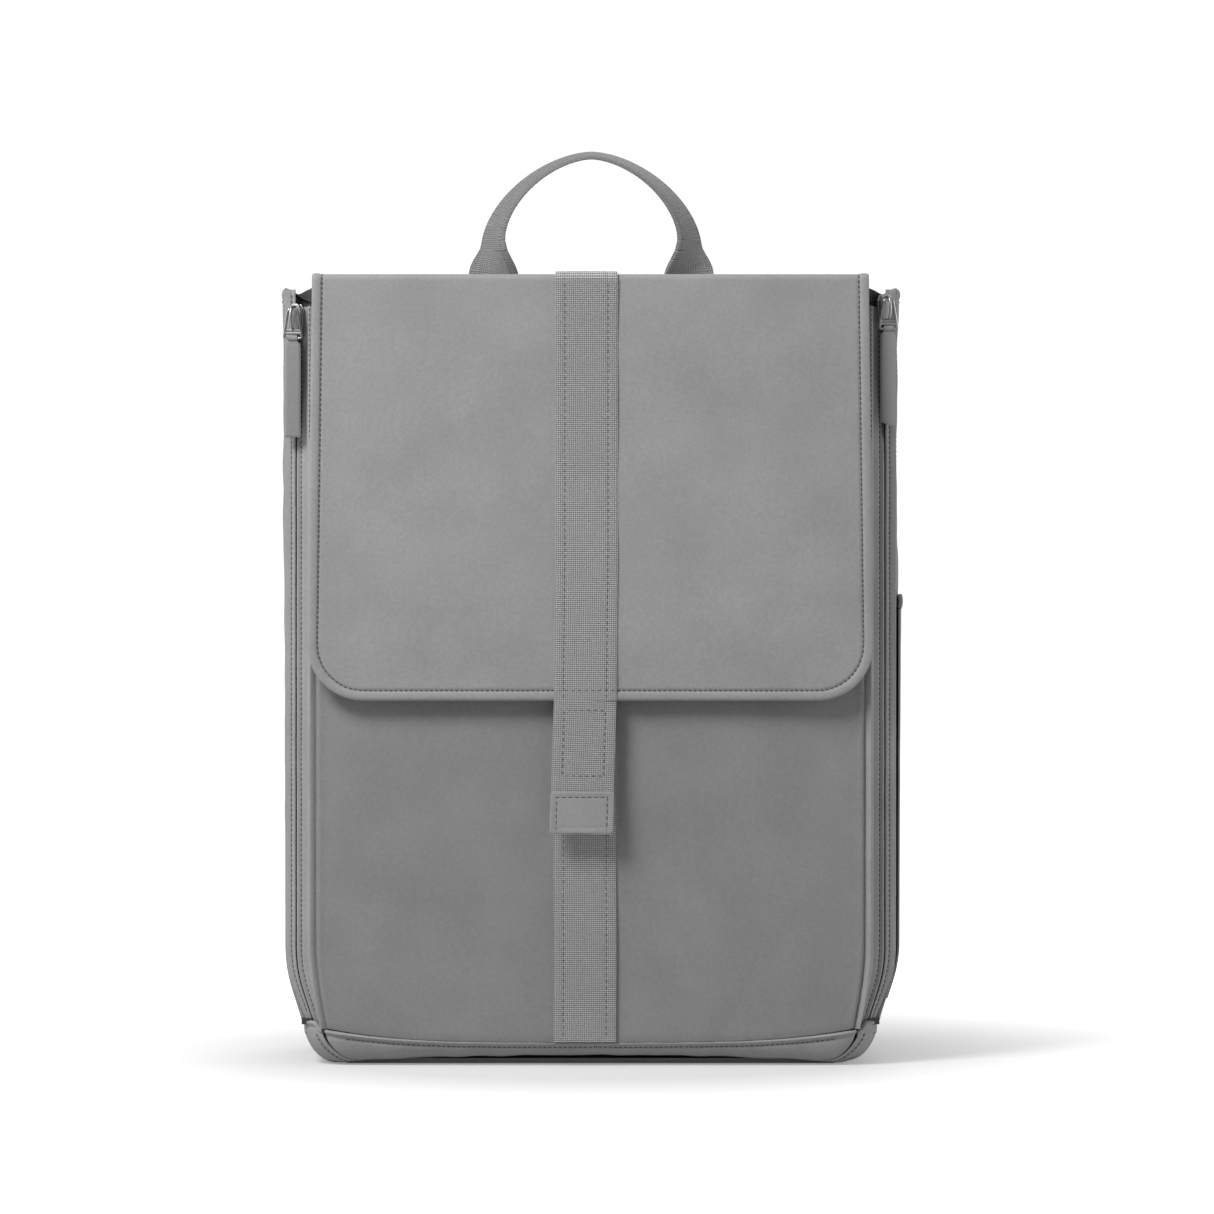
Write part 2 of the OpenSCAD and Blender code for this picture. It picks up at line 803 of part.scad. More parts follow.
function flap_half(z, edge) =
    let (
        w = flap_w / 2 - edge + flap_flare / 2 * clamp01((fold_z - z) / flap_drop),
        r = flap_corner - edge,
        k = clamp01(1 - (z - flap_low - edge) / r)
    ) w - r * (1 - sqrt(1 - k * k));
function flap_out(z) = mix(flap_rest, flap_stand_off, ease(clamp01((fold_z - z) / flap_drop)));

// Flap-shaped sheet between two heights, its outer face set forward of the flap's inner face
module flap_sheet(outer, t, low, high, edge) {
    heights = concat(
        [for (a = [0, 15, 30, 45, 60, 75]) low + (flap_corner - edge) * (1 - cos(a))],
        steps(low + flap_corner - edge, high, 7)
    );
    front = [for (z = heights) [for (k = steps(-1, 1, 8))
        [k * flap_half(z, edge), front_y - flap_out(z) - outer, z]]];
    back = [for (z = heights) [for (k = steps(-1, 1, 8))
        [k * flap_half(z, edge), front_y - flap_out(z) - outer + t, z]]];
    skin(front, back);
}

module flap_panel() {
    color(coated)
        union() {
            flap_sheet(flap_t, flap_t, flap_low, fold_z, 0);
            translate([-flap_w / 2, fold_y, fold_z])
                rotate([0, 90, 0]) cylinder(h = flap_w, r = fold_r, $fn = 40);
        }
}

module flap_lining() {
    color(dark)
        flap_sheet(
            -lining_seam, lining_thin, flap_low + lining_edge, fold_z - 2 * fold_r, lining_edge
        );
}

module flap_webbing() {
    heights = steps(flap_low, fold_z - fold_r - 1.5, 8);
    color(woven)
        skin(
            [for (z = heights) [for (k = [-1, 1])
                [k * webbing_w / 2, front_y - flap_out(z) - flap_t - webbing_t, z]]],
            [for (z = heights) [for (k = [-1, 1])
                [k * webbing_w / 2, front_y - flap_out(z) - flap_t - 0.1, z]]]
        );
}

function tab_y(z) = tab_face - tab_flare * (tab_top - z) / (tab_top - tab_low);

module tab_strip(low, high, out, t) {
    color(woven)
        skin(
            [for (z = [low, high]) [for (k = [-1, 1]) [k * webbing_w / 2, tab_y(z) - out, z]]],
            [for (z = [low, high]) [for (k = [-1, 1]) [k * webbing_w / 2, tab_y(z) - out + t, z]]]
        );
}

module closure_tab() {
    tab_strip(tab_low, tab_top, 0, webbing_t);
}

module tab_patch() {
    color(coated) tab_strip(tab_low, tab_low + patch_h, patch_t, patch_t - 0.1);
}

module clasp_cap() {
    face = front_y - seam - webbing_t - clasp_t - free_gap;
    back = tab_y(clasp_z) + webbing_t + 0.4;
    color(metal)
        translate([0, face, clasp_z]) rotate([90, 0, 0]) cylinder(h = face - back, r = clasp_r);
}

// ---------- Shoulder straps ----------

module strap_yoke() {
    color(soft)
        box_between(
            [-strap_x_top - strap_w / 2, back_y + handle_t + 2 * seam, strap_top + fold_gap],
            [strap_x_top + strap_w / 2, back_y + handle_t + 2 * seam + yoke_strip_t,
             strap_top + fold_gap + yoke_strip_h]
        );
}

function strap_centre(s) =
    [mix(strap_x_top, strap_x_low, ease(s)),
     mix(strap_hinge_y, strap_y + strap_bow * sin(180 * s), ease(clamp01(s * (strap_top - strap_low) / strap_settle))),
     mix(strap_top, strap_low, s)];
function strap_thick(s) = mix(strap_neck, strap_t, ease(clamp01(s * 4)));
function strap_half(s) = strap_w / 2 * mix(1, strap_taper, pow(s, 3));

module strap_pad(side) {
    stations = steps(0, 1, strap_steps);
    color(soft)
        mirrored(side)
            skin(
                [for (s = stations) [for (k = [1, 0, -1])
                    strap_centre(s) + [k * strap_half(s), strap_thick(s) / 2, 0]]],
                [for (s = stations) [for (k = [1, 0, -1])
                    strap_centre(s) + [k * strap_half(s), -strap_thick(s) / 2, 0]]]
            );
}

// Plastic ladder lock: a frame with one middle bar
module ladder_lock(side) {
    w = strap_web_w + 2 * lock_rim;
    slot_h = (lock_h - 3 * lock_bar) / 2;
    low = strap_low - lock_h - 2;
    color(plastic)
        mirrored(side)
            difference() {
                translate([strap_x_low, lock_y + lock_t, low + lock_h / 2])
                    rotate([90, 0, 0]) rounded_block([w, lock_h, lock_t], 3);
                for (z = [low + lock_bar, low + 2 * lock_bar + slot_h]) {
                    translate([strap_x_low - strap_web_w / 2 - free_gap, lock_y - 1, z])
                        cube([strap_web_w + 2 * free_gap, lock_t + 2, slot_h]);
                }
            }
}

// Free end of the webbing that hangs in front of the lower webbing
module strap_tail(side) {
    color(woven)
        mirrored(side)
            box_between(
                [strap_x_low - strap_web_w / 2, lock_y + lock_t + seam, strap_low - lock_h / 2 - tail_l],
                [strap_x_low + strap_web_w / 2, lock_y + lock_t + seam + strap_cloth_t,
                 strap_low - lock_h / 2]
            );
}

module strap_web(side) {
    top = [strap_x_low, lock_y + 1.2, strap_low - lock_h - 3];
    low = [wing_x - 6, back_y + wing_t + 2.5, wing_z + 6];
    color(woven)
        mirrored(side)
            skin(
                [for (p = [top, low]) [for (k = [-1, 1]) p + [k * strap_web_w / 2, strap_cloth_t, 0]]],
                [for (p = [top, low]) [for (k = [-1, 1]) p + [k * strap_web_w / 2, 0, 0]]]
            );
}

// Coated wing sewn into the side seam, which holds the lower webbing
module strap_wing(side) {
    color(coated)
        mirrored(side)
            translate([0, back_y + seam + wing_t, 0])
                rotate([90, 0, 0])
                    linear_extrude(wing_t)
                        polygon([
                            [wing_x - wing_in, wing_z - 14], [wing_x + 12, wing_z - 20],
                            [wing_x + 12, wing_z + wing_rise], [wing_x - wing_in, wing_z + 5]
                        ]);
}

front_panel();
front_gusset(-1);  // front_gusset_left
front_gusset(1);  // front_gusset_right
side_gusset(-1);  // side_gusset_left
side_gusset(1);  // side_gusset_right
back_panel();
top_yoke();
base_panel();
base_board();
base_band_front();
base_corner(-1);  // base_corner_left
base_corner(1);  // base_corner_right
base_band_back();
base_piping();
lining();
laptop_divider();
slip_pocket();
frame_sheet();
back_foam();
back_pad(-1);  // back_pad_left
back_pad(1);  // back_pad_right
back_pad_lumbar();
zip_tape(-1);  // zip_tape_left
zip_tape(1);  // zip_tape_right
zip_coil(-1);  // zip_coil_left
zip_coil(1);  // zip_coil_right
zip_stops();
front_webbing();
clasp_base();
side_pocket();
pocket_hem();
handle_feet();
strap_yoke();
strap_wing(-1);  // strap_wing_left
strap_wing(1);  // strap_wing_right
strap_web(-1);  // strap_web_left
strap_web(1);  // strap_web_right
lid_panel();
lid_webbing();
flap_panel();
flap_lining();
flap_webbing();
closure_tab();
tab_patch();
clasp_cap();
slider(-1, slider_z_left);  // slider_left
slider(1, slider_z_right);  // slider_right
bail(-1, slider_z_left);  // bail_left
bail(1, slider_z_right);  // bail_right
pull(-1, slider_z_left, 0);  // pull_left
pull(1, slider_z_right, -20);  // pull_right
carry_handle();
strap_pad(-1);  // strap_pad_left
strap_pad(1);  // strap_pad_right
ladder_lock(-1);  // ladder_lock_left
ladder_lock(1);  // ladder_lock_right
strap_tail(-1);  // strap_tail_left
strap_tail(1);  // strap_tail_right
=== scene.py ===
"""Changing backpack for baby care gear: its cloth, webbing, pads and metal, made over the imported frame."""

import math

import bmesh
import bpy
from bpy.props import FloatProperty, FloatVectorProperty, PointerProperty
from bpy.types import Operator, Panel, PropertyGroup
from mathutils import Matrix, Vector, noise


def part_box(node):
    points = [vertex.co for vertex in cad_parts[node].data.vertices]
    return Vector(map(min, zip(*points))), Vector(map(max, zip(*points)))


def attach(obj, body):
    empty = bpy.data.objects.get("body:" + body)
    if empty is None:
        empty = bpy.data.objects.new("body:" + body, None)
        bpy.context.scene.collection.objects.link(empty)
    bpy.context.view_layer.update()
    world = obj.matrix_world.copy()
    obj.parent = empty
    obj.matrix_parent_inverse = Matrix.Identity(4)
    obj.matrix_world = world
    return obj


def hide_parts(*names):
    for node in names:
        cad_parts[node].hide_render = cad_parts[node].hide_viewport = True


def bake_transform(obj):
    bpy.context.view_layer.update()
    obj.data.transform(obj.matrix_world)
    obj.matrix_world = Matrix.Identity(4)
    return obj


bl_info = {
    "name": "Baby Gear Backpack",
    "version": (1, 0, 0),
    "blender": (4, 5, 0),
    "location": "View3D > Sidebar > Backpack",
    "description": "Makes the cloth, webbing, pads and metal of a changing backpack over its frame",
    "category": "Object",
}

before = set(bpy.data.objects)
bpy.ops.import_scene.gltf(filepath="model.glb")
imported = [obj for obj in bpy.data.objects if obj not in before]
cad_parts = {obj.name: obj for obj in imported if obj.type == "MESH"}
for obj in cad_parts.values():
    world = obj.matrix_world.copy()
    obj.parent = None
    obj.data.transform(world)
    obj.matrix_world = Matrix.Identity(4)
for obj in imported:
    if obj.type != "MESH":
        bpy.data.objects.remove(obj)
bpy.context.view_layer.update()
MM = 0.001


# ---------- Measures of the frame, in millimetres ----------


def low(node):
    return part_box(node)[0] / MM


def high(node):
    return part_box(node)[1] / MM


def extent(node):
    return low(node), high(node)


SEAM = 0.3
FRONT_Y = low("front_panel").y
BACK_Y = high("back_panel").y
FRONT_HALF = high("front_panel").x + SEAM
BODY_H = high("side_gusset_right").z
LID_Z = high("lid_panel").z
LID_HALF = high("lid_panel").x
LID_T = 3.0
LID_HINGE_Y = BACK_Y - 20.0
FLAP_LOW = low("flap_panel").z
FLAP_T = 2.5
FLAP_CORNER = 29.0
FLAP_FLARE = 2.5
FLAP_TOP_OUT = 1.3
FLAP_LOW_OUT = 5.0
FOLD_R = 3.2
FOLD_Y = FRONT_Y - FLAP_TOP_OUT - FLAP_T + FOLD_R
FOLD_Z = LID_Z - FOLD_R
LAP = 10.0
TAB_LOW = low("closure_tab").z
TAB_TOP = high("closure_tab").z
WEB_HALF = high("closure_tab").x
WEB_T = 1.6
TAB_FLARE = 2.4
TAB_FACE = FRONT_Y - FLAP_LOW_OUT - FLAP_T - WEB_T
PATCH_H = high("tab_patch").z - TAB_LOW
BASE_H = high("base_corner_left").z + SEAM
SEAM_DIP = 7.0
DRAW_IN = 10.0
DRAW_IN_H = 60.0
CORNER_SEAM = high("base_band_front").x + SEAM
BASE_HALF = high("base_corner_right").x
BASE_R = BASE_HALF - CORNER_SEAM - 1.0
BASE_INSET = 8.0
BASE_TUCK = 16.0
RING_FRONT = FRONT_Y + 0.8
RING_BACK = BACK_Y - 1.0
ZIP_IN = FRONT_HALF + 4.2
ZIP_SPAN = 11.8
ZIP_TURN = math.radians(20)
ZIP_X = ZIP_IN + ZIP_SPAN / 2 * math.cos(ZIP_TURN)
ZIP_Y = FRONT_Y + 10.0 + ZIP_SPAN / 2 * math.sin(ZIP_TURN)
ZIP_OUT = ZIP_IN + ZIP_SPAN * math.cos(ZIP_TURN)
SIDE_START = low("side_gusset_right").y
SIDE_END = high("side_gusset_right").y
HEM = 5.4           # height of the side gussets' turned top edge
BACK_CORNER = 13.0
BACK_HALF = FRONT_HALF + 8.0
WALL_LOW = BASE_H + 1.0
SIDES = {-1: "left", 1: "right"}
SLIDER_Z = {side: sum(end.z for end in extent(f"slider_{SIDES[side]}")) / 2 for side in SIDES}


# ---------- Settings ----------


class BackpackSizes(PropertyGroup):
    roll: FloatProperty(
        name="Edge roll", description="Width of the rolled edge round the flap",
        default=4.7 * MM, min=0.003, max=0.008, unit="LENGTH")
    stitch: FloatProperty(
        name="Stitch pitch", description="Distance from one stitch to the next",
        default=2.6 * MM, min=0.0015, max=0.005, unit="LENGTH")
    rib: FloatProperty(
        name="Webbing rib", description="Distance from one rib of the webbing to the next",
        default=1.05 * MM, min=0.0008, max=0.002, unit="LENGTH")
    ripple: FloatProperty(
        name="Ripple", description="How far the cloth walls wander from flat",
        default=0.7 * MM, min=0.0, max=0.002, unit="LENGTH")


class BackpackColours(PropertyGroup):
    cloth: FloatVectorProperty(
        name="Coated cloth", description="Colour of the coated outer cloth",
        default=(0.315, 0.315, 0.315), size=3, min=0, max=1, subtype="COLOR")
    webbing: FloatVectorProperty(
        name="Webbing", description="Colour of the closure and handle webbing",
        default=(0.48, 0.48, 0.48), size=3, min=0, max=1, subtype="COLOR")
    thread: FloatVectorProperty(
        name="Thread", description="Colour of the sewing thread",
        default=(0.07, 0.07, 0.07), size=3, min=0, max=1, subtype="COLOR")
    lining: FloatVectorProperty(
        name="Lining", description="Colour of the lining, the tapes and the underside",
        default=(0.06, 0.06, 0.062), size=3, min=0, max=1, subtype="COLOR")
    mesh: FloatVectorProperty(
        name="Spacer mesh", description="Colour of the mesh on the back and the straps",
        default=(0.11, 0.11, 0.112), size=3, min=0, max=1, subtype="COLOR")
    metal: FloatVectorProperty(
        name="Metal", description="Colour of the sliders and the clasp",
        default=(0.5, 0.5, 0.51), size=3, min=0, max=1, subtype="COLOR")


def mm(value):
    return value / MM


# ---------- Small sums ----------


def mix(a, b, t):
    return a + (b - a) * t


def clamp(t):
    return min(1.0, max(0.0, t))


def ease(t):
    t = clamp(t)
    return t * t * (3 - 2 * t)


def steps(start, end, count):
    return [mix(start, end, i / count) for i in range(count + 1)]


def bump(x, middle, width):
    return math.exp(-(((x - middle) / width) ** 2))


def ripple(a, b, seed, size=55.0):
    return noise.noise(Vector((a / size, b / size, seed)))


def draw_in(z):
    """Share of its width that the body keeps near the foot"""
    return 1 - DRAW_IN / FRONT_HALF * clamp(1 - z / DRAW_IN_H) ** 1.5


# ---------- Making pieces ----------


def deselect():
    bpy.ops.object.select_all(action="DESELECT")


def activate(obj):
    deselect()
    obj.select_set(True)
    bpy.context.view_layer.objects.active = obj


def modify(obj, kind, **settings):
    activate(obj)
    bpy.ops.object.modifier_add(type=kind)
    modifier = obj.modifiers[-1]
    for key, value in settings.items():
        setattr(modifier, key, value)
    bpy.ops.object.modifier_apply(modifier=modifier.name)


def weld(obj, distance=0.00001):
    activate(obj)
    bpy.ops.object.mode_set(mode="EDIT")
    bpy.ops.mesh.select_all(action="SELECT")
    bpy.ops.mesh.remove_doubles(threshold=distance)
    bpy.ops.object.mode_set(mode="OBJECT")


def face_out(obj):
    activate(obj)
    bpy.ops.object.mode_set(mode="EDIT")
    bpy.ops.mesh.select_all(action="SELECT")
    bpy.ops.mesh.normals_make_consistent(inside=False)
    bpy.ops.object.mode_set(mode="OBJECT")


def thicken(obj, thickness, rim, even=True):
    modify(obj, "SOLIDIFY", thickness=thickness * MM, offset=-1.0, use_even_offset=even)
    if rim:
        modify(obj, "BEVEL", width=rim * MM, segments=2, limit_method="ANGLE",
               angle_limit=math.radians(60))


def lay_grid(name, us, vs, shape, thickness, facing=None, cloth=(1.0, 1.0), rim=0.35, omit=None, even=True):
    """A grid whose lines stand at the stops us and vs, set in place by shape and given its thickness"""
    deselect()
    across, along = len(us) - 1, len(vs) - 1
    bpy.ops.mesh.primitive_grid_add(x_subdivisions=across, y_subdivisions=along, size=1)
    obj = bpy.context.object
    obj.name = obj.data.name = name
    mesh = obj.data
    cell = [(round((v.co.x + 0.5) * across), round((v.co.y + 0.5) * along)) for v in mesh.vertices]
    if len(cell) != len(us) * len(vs):
        raise RuntimeError(f"{name}: the grid has {len(cell)} points")
    for v, (i, j) in zip(mesh.vertices, cell):
        v.co = Vector(shape(us[i], vs[j])) * MM
    uv = mesh.uv_layers.active.data
    for loop in mesh.loops:
        i, j = cell[loop.vertex_index]
        uv[loop.index].uv = (us[i] * cloth[0] * MM, vs[j] * cloth[1] * MM)
    if omit:
        bm = bmesh.new()
        bm.from_mesh(mesh)
        bm.verts.ensure_lookup_table()
        gone = [bm.verts[n] for n, (i, j) in enumerate(cell) if omit(i, j)]
        bmesh.ops.delete(bm, geom=gone, context="VERTS")
        bm.to_mesh(mesh)
        bm.free()
    weld(obj)
    if facing is not None:
        total = Vector((0, 0, 0))
        for p in mesh.polygons:
            total += p.normal * p.area
        if total.dot(Vector(facing)) < 0:
            mesh.flip_normals()
    if thickness:
        thicken(obj, thickness, rim, even)
    return obj


def dress(obj, material, body=None, bend=None, instead=(), angle=40):
    """Finish and shading of a piece, and what it moves with"""
    activate(obj)
    bpy.ops.object.shade_smooth_by_angle(angle=math.radians(angle))
    obj.data.materials.clear()
    obj.data.materials.append(material)
    if instead:
        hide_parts(*instead)
    if bend:
        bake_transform(obj)
    else:
        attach(obj, body)
    return obj


def walk(path, pitch):
    """Places every pitch millimetres along a path of (point, normal) pairs"""
    places, gone, due = [], 0.0, pitch / 2
    for (a, na), (b, nb) in zip(path, path[1:]):
        step = b - a
        while step.length > 0 and due <= gone + step.length:
            t = (due - gone) / step.length
            places.append((a.lerp(b, t), step.normalized(), na.lerp(nb, t).normalized()))
            due += pitch
        gone += step.length
    return places


def copy_along(obj, places):
    """Copies of a small shape, its Z along each place's direction and its X along the normal"""
    bm = bmesh.new()
    for point, along, out in places:
        side = along.cross(out).normalized()
        out = side.cross(along)
        turn = Matrix((out, side, along)).transposed().to_4x4()
        mesh = obj.data.copy()
        mesh.transform(Matrix.Translation(point * MM) @ turn)
        bm.from_mesh(mesh)
        bpy.data.meshes.remove(mesh)
    bm.to_mesh(obj.data)
    bm.free()
    return obj


def stitches(name, paths, pitch=None, length=1.7, radius=0.28):
    """A row of short stitches along each path, half sunk in the cloth"""
    pitch = pitch or mm(bpy.context.scene.backpack_sizes.stitch)
    deselect()
    bpy.ops.mesh.primitive_uv_sphere_add(segments=6, ring_count=4, radius=radius * MM)
    obj = bpy.context.object
    obj.name = obj.data.name = name
    for v in obj.data.vertices:
        if abs(v.co.z) > radius * MM * 0.1:
            v.co.z += math.copysign((length / 2 - radius) * MM, v.co.z)
    return copy_along(obj, [place for path in paths for place in walk(path, pitch)])


def sew(name, paths, body="bag", bend=None, slot="dark_fabric", **size):
    """Rows of stitches in the sewing thread"""
    return dress(stitches(name, paths, **size), finish("thread"), body=body, bend=bend)


def wire(name, points, radius, closed=False, sides=3):
    """A round bar along a line of points"""
    curve = bpy.data.curves.new(name, "CURVE")
    curve.dimensions = "3D"
    curve.bevel_depth = radius * MM
    curve.bevel_resolution = sides
    curve.use_fill_caps = not closed
    spline = curve.splines.new("POLY")
    spline.points.add(len(points) - 1)
    for p, place in zip(spline.points, points):
        p.co = (*(Vector(place) * MM), 1)
    spline.use_cyclic_u = closed
    obj = bpy.data.objects.new(name, curve)
    bpy.context.scene.collection.objects.link(obj)
    activate(obj)
    bpy.ops.object.convert(target="MESH")
    obj = bpy.context.object
    weld(obj)
    face_out(obj)
    return obj


def join(name, objs):
    activate(objs[0])
    for obj in objs:
        obj.select_set(True)
    bpy.ops.object.join()
    obj = bpy.context.object
    obj.name = obj.data.name = name
    return obj


def plate(name, outline, thickness, bevel, place):
    """A flat plate with that outline of (x, z) pairs, its outer face towards -Y of place"""
    deselect()
    bpy.ops.mesh.primitive_circle_add(vertices=len(outline), radius=1, fill_type="NGON")
    obj = bpy.context.object
    obj.name = obj.data.name = name
    for v, (x, z) in zip(obj.data.vertices, outline):
        v.co = Vector((x, 0, z)) * MM
    obj.data.update()
    if obj.data.polygons[0].normal.y > 0:
        obj.data.flip_normals()
    modify(obj, "SOLIDIFY", thickness=thickness * MM, offset=-1.0)
    modify(obj, "BEVEL", width=bevel * MM, segments=3, limit_method="ANGLE", angle_limit=math.radians(50))
    obj.data.transform(place)
    return obj


# ---------- Finishes ----------


class Finish:
    """A material and a short way to add nodes to it"""

    def __init__(self, name, colour, roughness, **sockets):
        self.material = bpy.data.materials.new(name)
        self.material.use_nodes = True
        self.tree = self.material.node_tree
        self.shader = self.tree.nodes["Principled BSDF"]
        self.shader.inputs["Base Color"].default_value = (*colour, 1)
        self.shader.inputs["Roughness"].default_value = roughness
        for key, value in sockets.items():
            self.shader.inputs[key.replace("_", " ").title()].default_value = value
        self.colour = colour
        self.coordinates = self.tree.nodes.new("ShaderNodeTexCoord")

    def node(self, kind, settings=None, **inputs):
        made = self.tree.nodes.new("ShaderNode" + kind)
        for key, value in (settings or {}).items():
            setattr(made, key, value)
        for key, value in inputs.items():
            socket = made.inputs[int(key[1:])] if key[0] == "n" and key[1:].isdigit() else made.inputs[
                key.replace("_", " ").title()]
            if isinstance(value, bpy.types.NodeSocket):
                self.tree.links.new(value, socket)
            else:
                socket.default_value = value
        return made

    def grain(self, scale, detail=2.0, where="Object", stretch=None):
        vector = self.coordinates.outputs[where]
        if stretch:
            vector = self.node("Mapping", scale=stretch, vector=vector).outputs[0]
        return self.node("TexNoise", vector=vector, scale=scale, detail=detail).outputs[0]

    def bands(self, scale, direction, where="UV", profile="SIN"):
        return self.node(
            "TexWave", {"bands_direction": direction, "wave_profile": profile},
            vector=self.coordinates.outputs[where], scale=scale).outputs[0]

    def span(self, value, low_out, high_out, low_in=0.3, high_in=0.7):
        return self.node("MapRange", n0=value, n1=low_in, n2=high_in, n3=low_out, n4=high_out).outputs[0]

    def multiply(self, a, b):
        return self.node("Math", {"operation": "MULTIPLY"}, n0=a, n1=b).outputs[0]

    def add(self, a, b):
        return self.node("Math", {"operation": "ADD"}, n0=a, n1=b).outputs[0]

    def shade(self, factor):
        """The colour darkened or lightened by a factor"""
        scaled = self.node("VectorMath", {"operation": "SCALE"}, n0=self.colour)
        self.tree.links.new(factor, scaled.inputs["Scale"])
        self.tree.links.new(scaled.outputs[0], self.shader.inputs["Base Color"])

    def rough(self, value):
        self.tree.links.new(value, self.shader.inputs["Roughness"])

    def raise_by(self, height, distance, strength=1.0):
        made = self.node("Bump", strength=strength, distance=distance, height=height)
        previous = self.shader.inputs["Normal"].links
        if previous:
            self.tree.links.new(previous[0].from_socket, made.inputs["Normal"])
        self.tree.links.new(made.outputs[0], self.shader.inputs["Normal"])


def coated_cloth(name, colour, grain=0.00012):
    """Canvas under a matt coat: a fine grain, a faint weave and soft mottling"""
    f = Finish(name, colour, 0.72, sheen_weight=0.08)
    fine = f.grain(1700, 3)
    mottle = f.grain(28, 3)
    speckle = f.grain(620, 2)
    f.shade(f.multiply(f.span(mottle, 0.93, 1.06), f.span(speckle, 0.94, 1.05)))
    f.rough(f.span(mottle, 0.66, 0.78))
    f.raise_by(fine, grain)
    f.raise_by(f.grain(300, 2), 0.00016, 0.5)
    return f.material


def woven_webbing(name, colour, rib):
    """Webbing with ribs across it and fine warp lines along it"""
    f = Finish(name, colour, 0.82, sheen_weight=0.12)
    ribs = f.bands(0.314 / rib, "Y")
    warp = f.bands(0.314 / 0.0011, "X")
    fuzz = f.grain(2400, 2)
    f.shade(f.multiply(
        f.multiply(f.span(ribs, 0.3, 1.35, 0.0, 1.0), f.span(warp, 0.62, 1.15, 0.0, 1.0)),
        f.span(fuzz, 0.8, 1.18)))
    f.rough(f.span(fuzz, 0.76, 0.9))
    f.raise_by(f.add(f.multiply(ribs, 0.5), f.multiply(warp, 0.5)), 0.0003)
    f.raise_by(fuzz, 0.00015)
    return f.material


def twisted_thread(name, colour):
    f = Finish(name, colour, 0.6, sheen_weight=0.1)
    twist = f.grain(3000, 1)
    f.shade(f.span(twist, 0.8, 1.25))
    f.raise_by(twist, 0.0001)
    return f.material


def plain_lining(name, colour):
    """Thin plain-woven lining cloth"""
    f = Finish(name, colour, 0.8, sheen_weight=0.1)
    warp = f.bands(0.314 / 0.0009, "X", "Object")
    weft = f.bands(0.314 / 0.0009, "Z", "Object")
    cloud = f.grain(35, 3)
    f.shade(f.multiply(f.span(f.multiply(warp, weft), 0.85, 1.15, 0.0, 1.0), f.span(cloud, 0.9, 1.1)))
    f.rough(f.span(cloud, 0.74, 0.88))
    f.raise_by(f.add(warp, weft), 0.00008)
    return f.material


def spacer_mesh(name, colour):
    """Knitted spacer mesh with small open cells"""
    f = Finish(name, colour, 0.85, sheen_weight=0.15)
    cells = f.node("TexVoronoi", {"feature": "DISTANCE_TO_EDGE"},
                   vector=f.coordinates.outputs["Object"], scale=420.0, randomness=0.35).outputs[0]
    f.shade(f.multiply(f.span(cells, 1.25, 0.45, 0.0, 0.35), f.span(f.grain(40, 3), 0.9, 1.1)))
    f.rough(f.span(cells, 0.7, 0.95, 0.0, 0.4))
    f.raise_by(cells, -0.0006)
    return f.material


def cast_metal(name, colour, roughness=0.34):
    """Plated cast metal with fine handling marks"""
    f = Finish(name, colour, roughness, metallic=1.0)
    marks = f.grain(260, 4, stretch=(1, 1, 0.25))
    f.shade(f.span(f.grain(180, 3), 0.9, 1.06))
    f.rough(f.span(marks, roughness - 0.06, roughness + 0.12))
    f.raise_by(marks, 0.00004)
    return f.material


def moulded_plastic(name, colour):
    f = Finish(name, colour, 0.45)
    f.shade(f.span(f.grain(60, 2), 0.9, 1.12))
    f.rough(f.span(f.grain(900, 2), 0.4, 0.55))
    f.raise_by(f.grain(1500, 2), 0.00005)
    return f.material


def cell_foam(name, colour):
    f = Finish(name, colour, 0.95)
    cells = f.node("TexVoronoi", vector=f.coordinates.outputs["Object"], scale=900.0).outputs[0]
    f.shade(f.span(cells, 0.75, 1.1, 0.0, 0.8))
    f.rough(f.span(cells, 0.9, 1.0, 0.0, 0.8))
    f.raise_by(cells, 0.0002)
    return f.material


FINISHES = {}


def finish(name):
    return FINISHES[name]


def make_finishes(colours, sizes):
    cloth = tuple(colours.cloth)
    FINISHES.update(
        cloth=coated_cloth("coated_cloth", cloth),
        # shade: a darker copy of the coated cloth for the base panel and base piping, painted shade on the
        # underside
        shade=coated_cloth("coated_underside_painted_shade", tuple(c * 0.7 for c in cloth)),
        # lower: a darker copy of the coated cloth for the front panel, painted shade for the front below the
        # flap
        lower=coated_cloth("coated_front_painted_shade", tuple(c * 0.78 for c in cloth)),
        patch=coated_cloth("smooth_coat", tuple(c * 0.92 for c in cloth), 0.00004),
        webbing=woven_webbing("webbing_cloth", tuple(colours.webbing), sizes.rib),
        tape=woven_webbing("tape_cloth", tuple(c * 2.2 for c in colours.lining), 0.0012),
        dark_webbing=woven_webbing("strap_webbing", tuple(c * 0.3 for c in colours.webbing), 0.0014),
        # handle: a darker copy of the webbing for the carry handle, painted shade
        handle=woven_webbing("handle_cloth_painted_shade", tuple(c * 0.55 for c in colours.webbing), sizes.rib),
        thread=twisted_thread("sewing_thread", tuple(colours.thread)),
        coil=moulded_plastic("zip_teeth", tuple(c * 0.6 for c in colours.lining)),
        lining=plain_lining("lining_cloth", tuple(colours.lining)),
        mesh=spacer_mesh("spacer_mesh", tuple(colours.mesh)),
        metal=cast_metal("plated_metal", tuple(colours.metal)),
        plastic=moulded_plastic("black_plastic", (0.03, 0.03, 0.031)),
        foam=cell_foam("white_foam", (0.6, 0.6, 0.58)),
    )


# ---------- Stage ----------


FLOOR_HALF = 9000
VIEW_BACK = 2600        # how far the camera stands in front of the front panel
VIEW_SIDE = 8.5
VIEW_H = 236
AIM_H = 200             # height that the lights point at


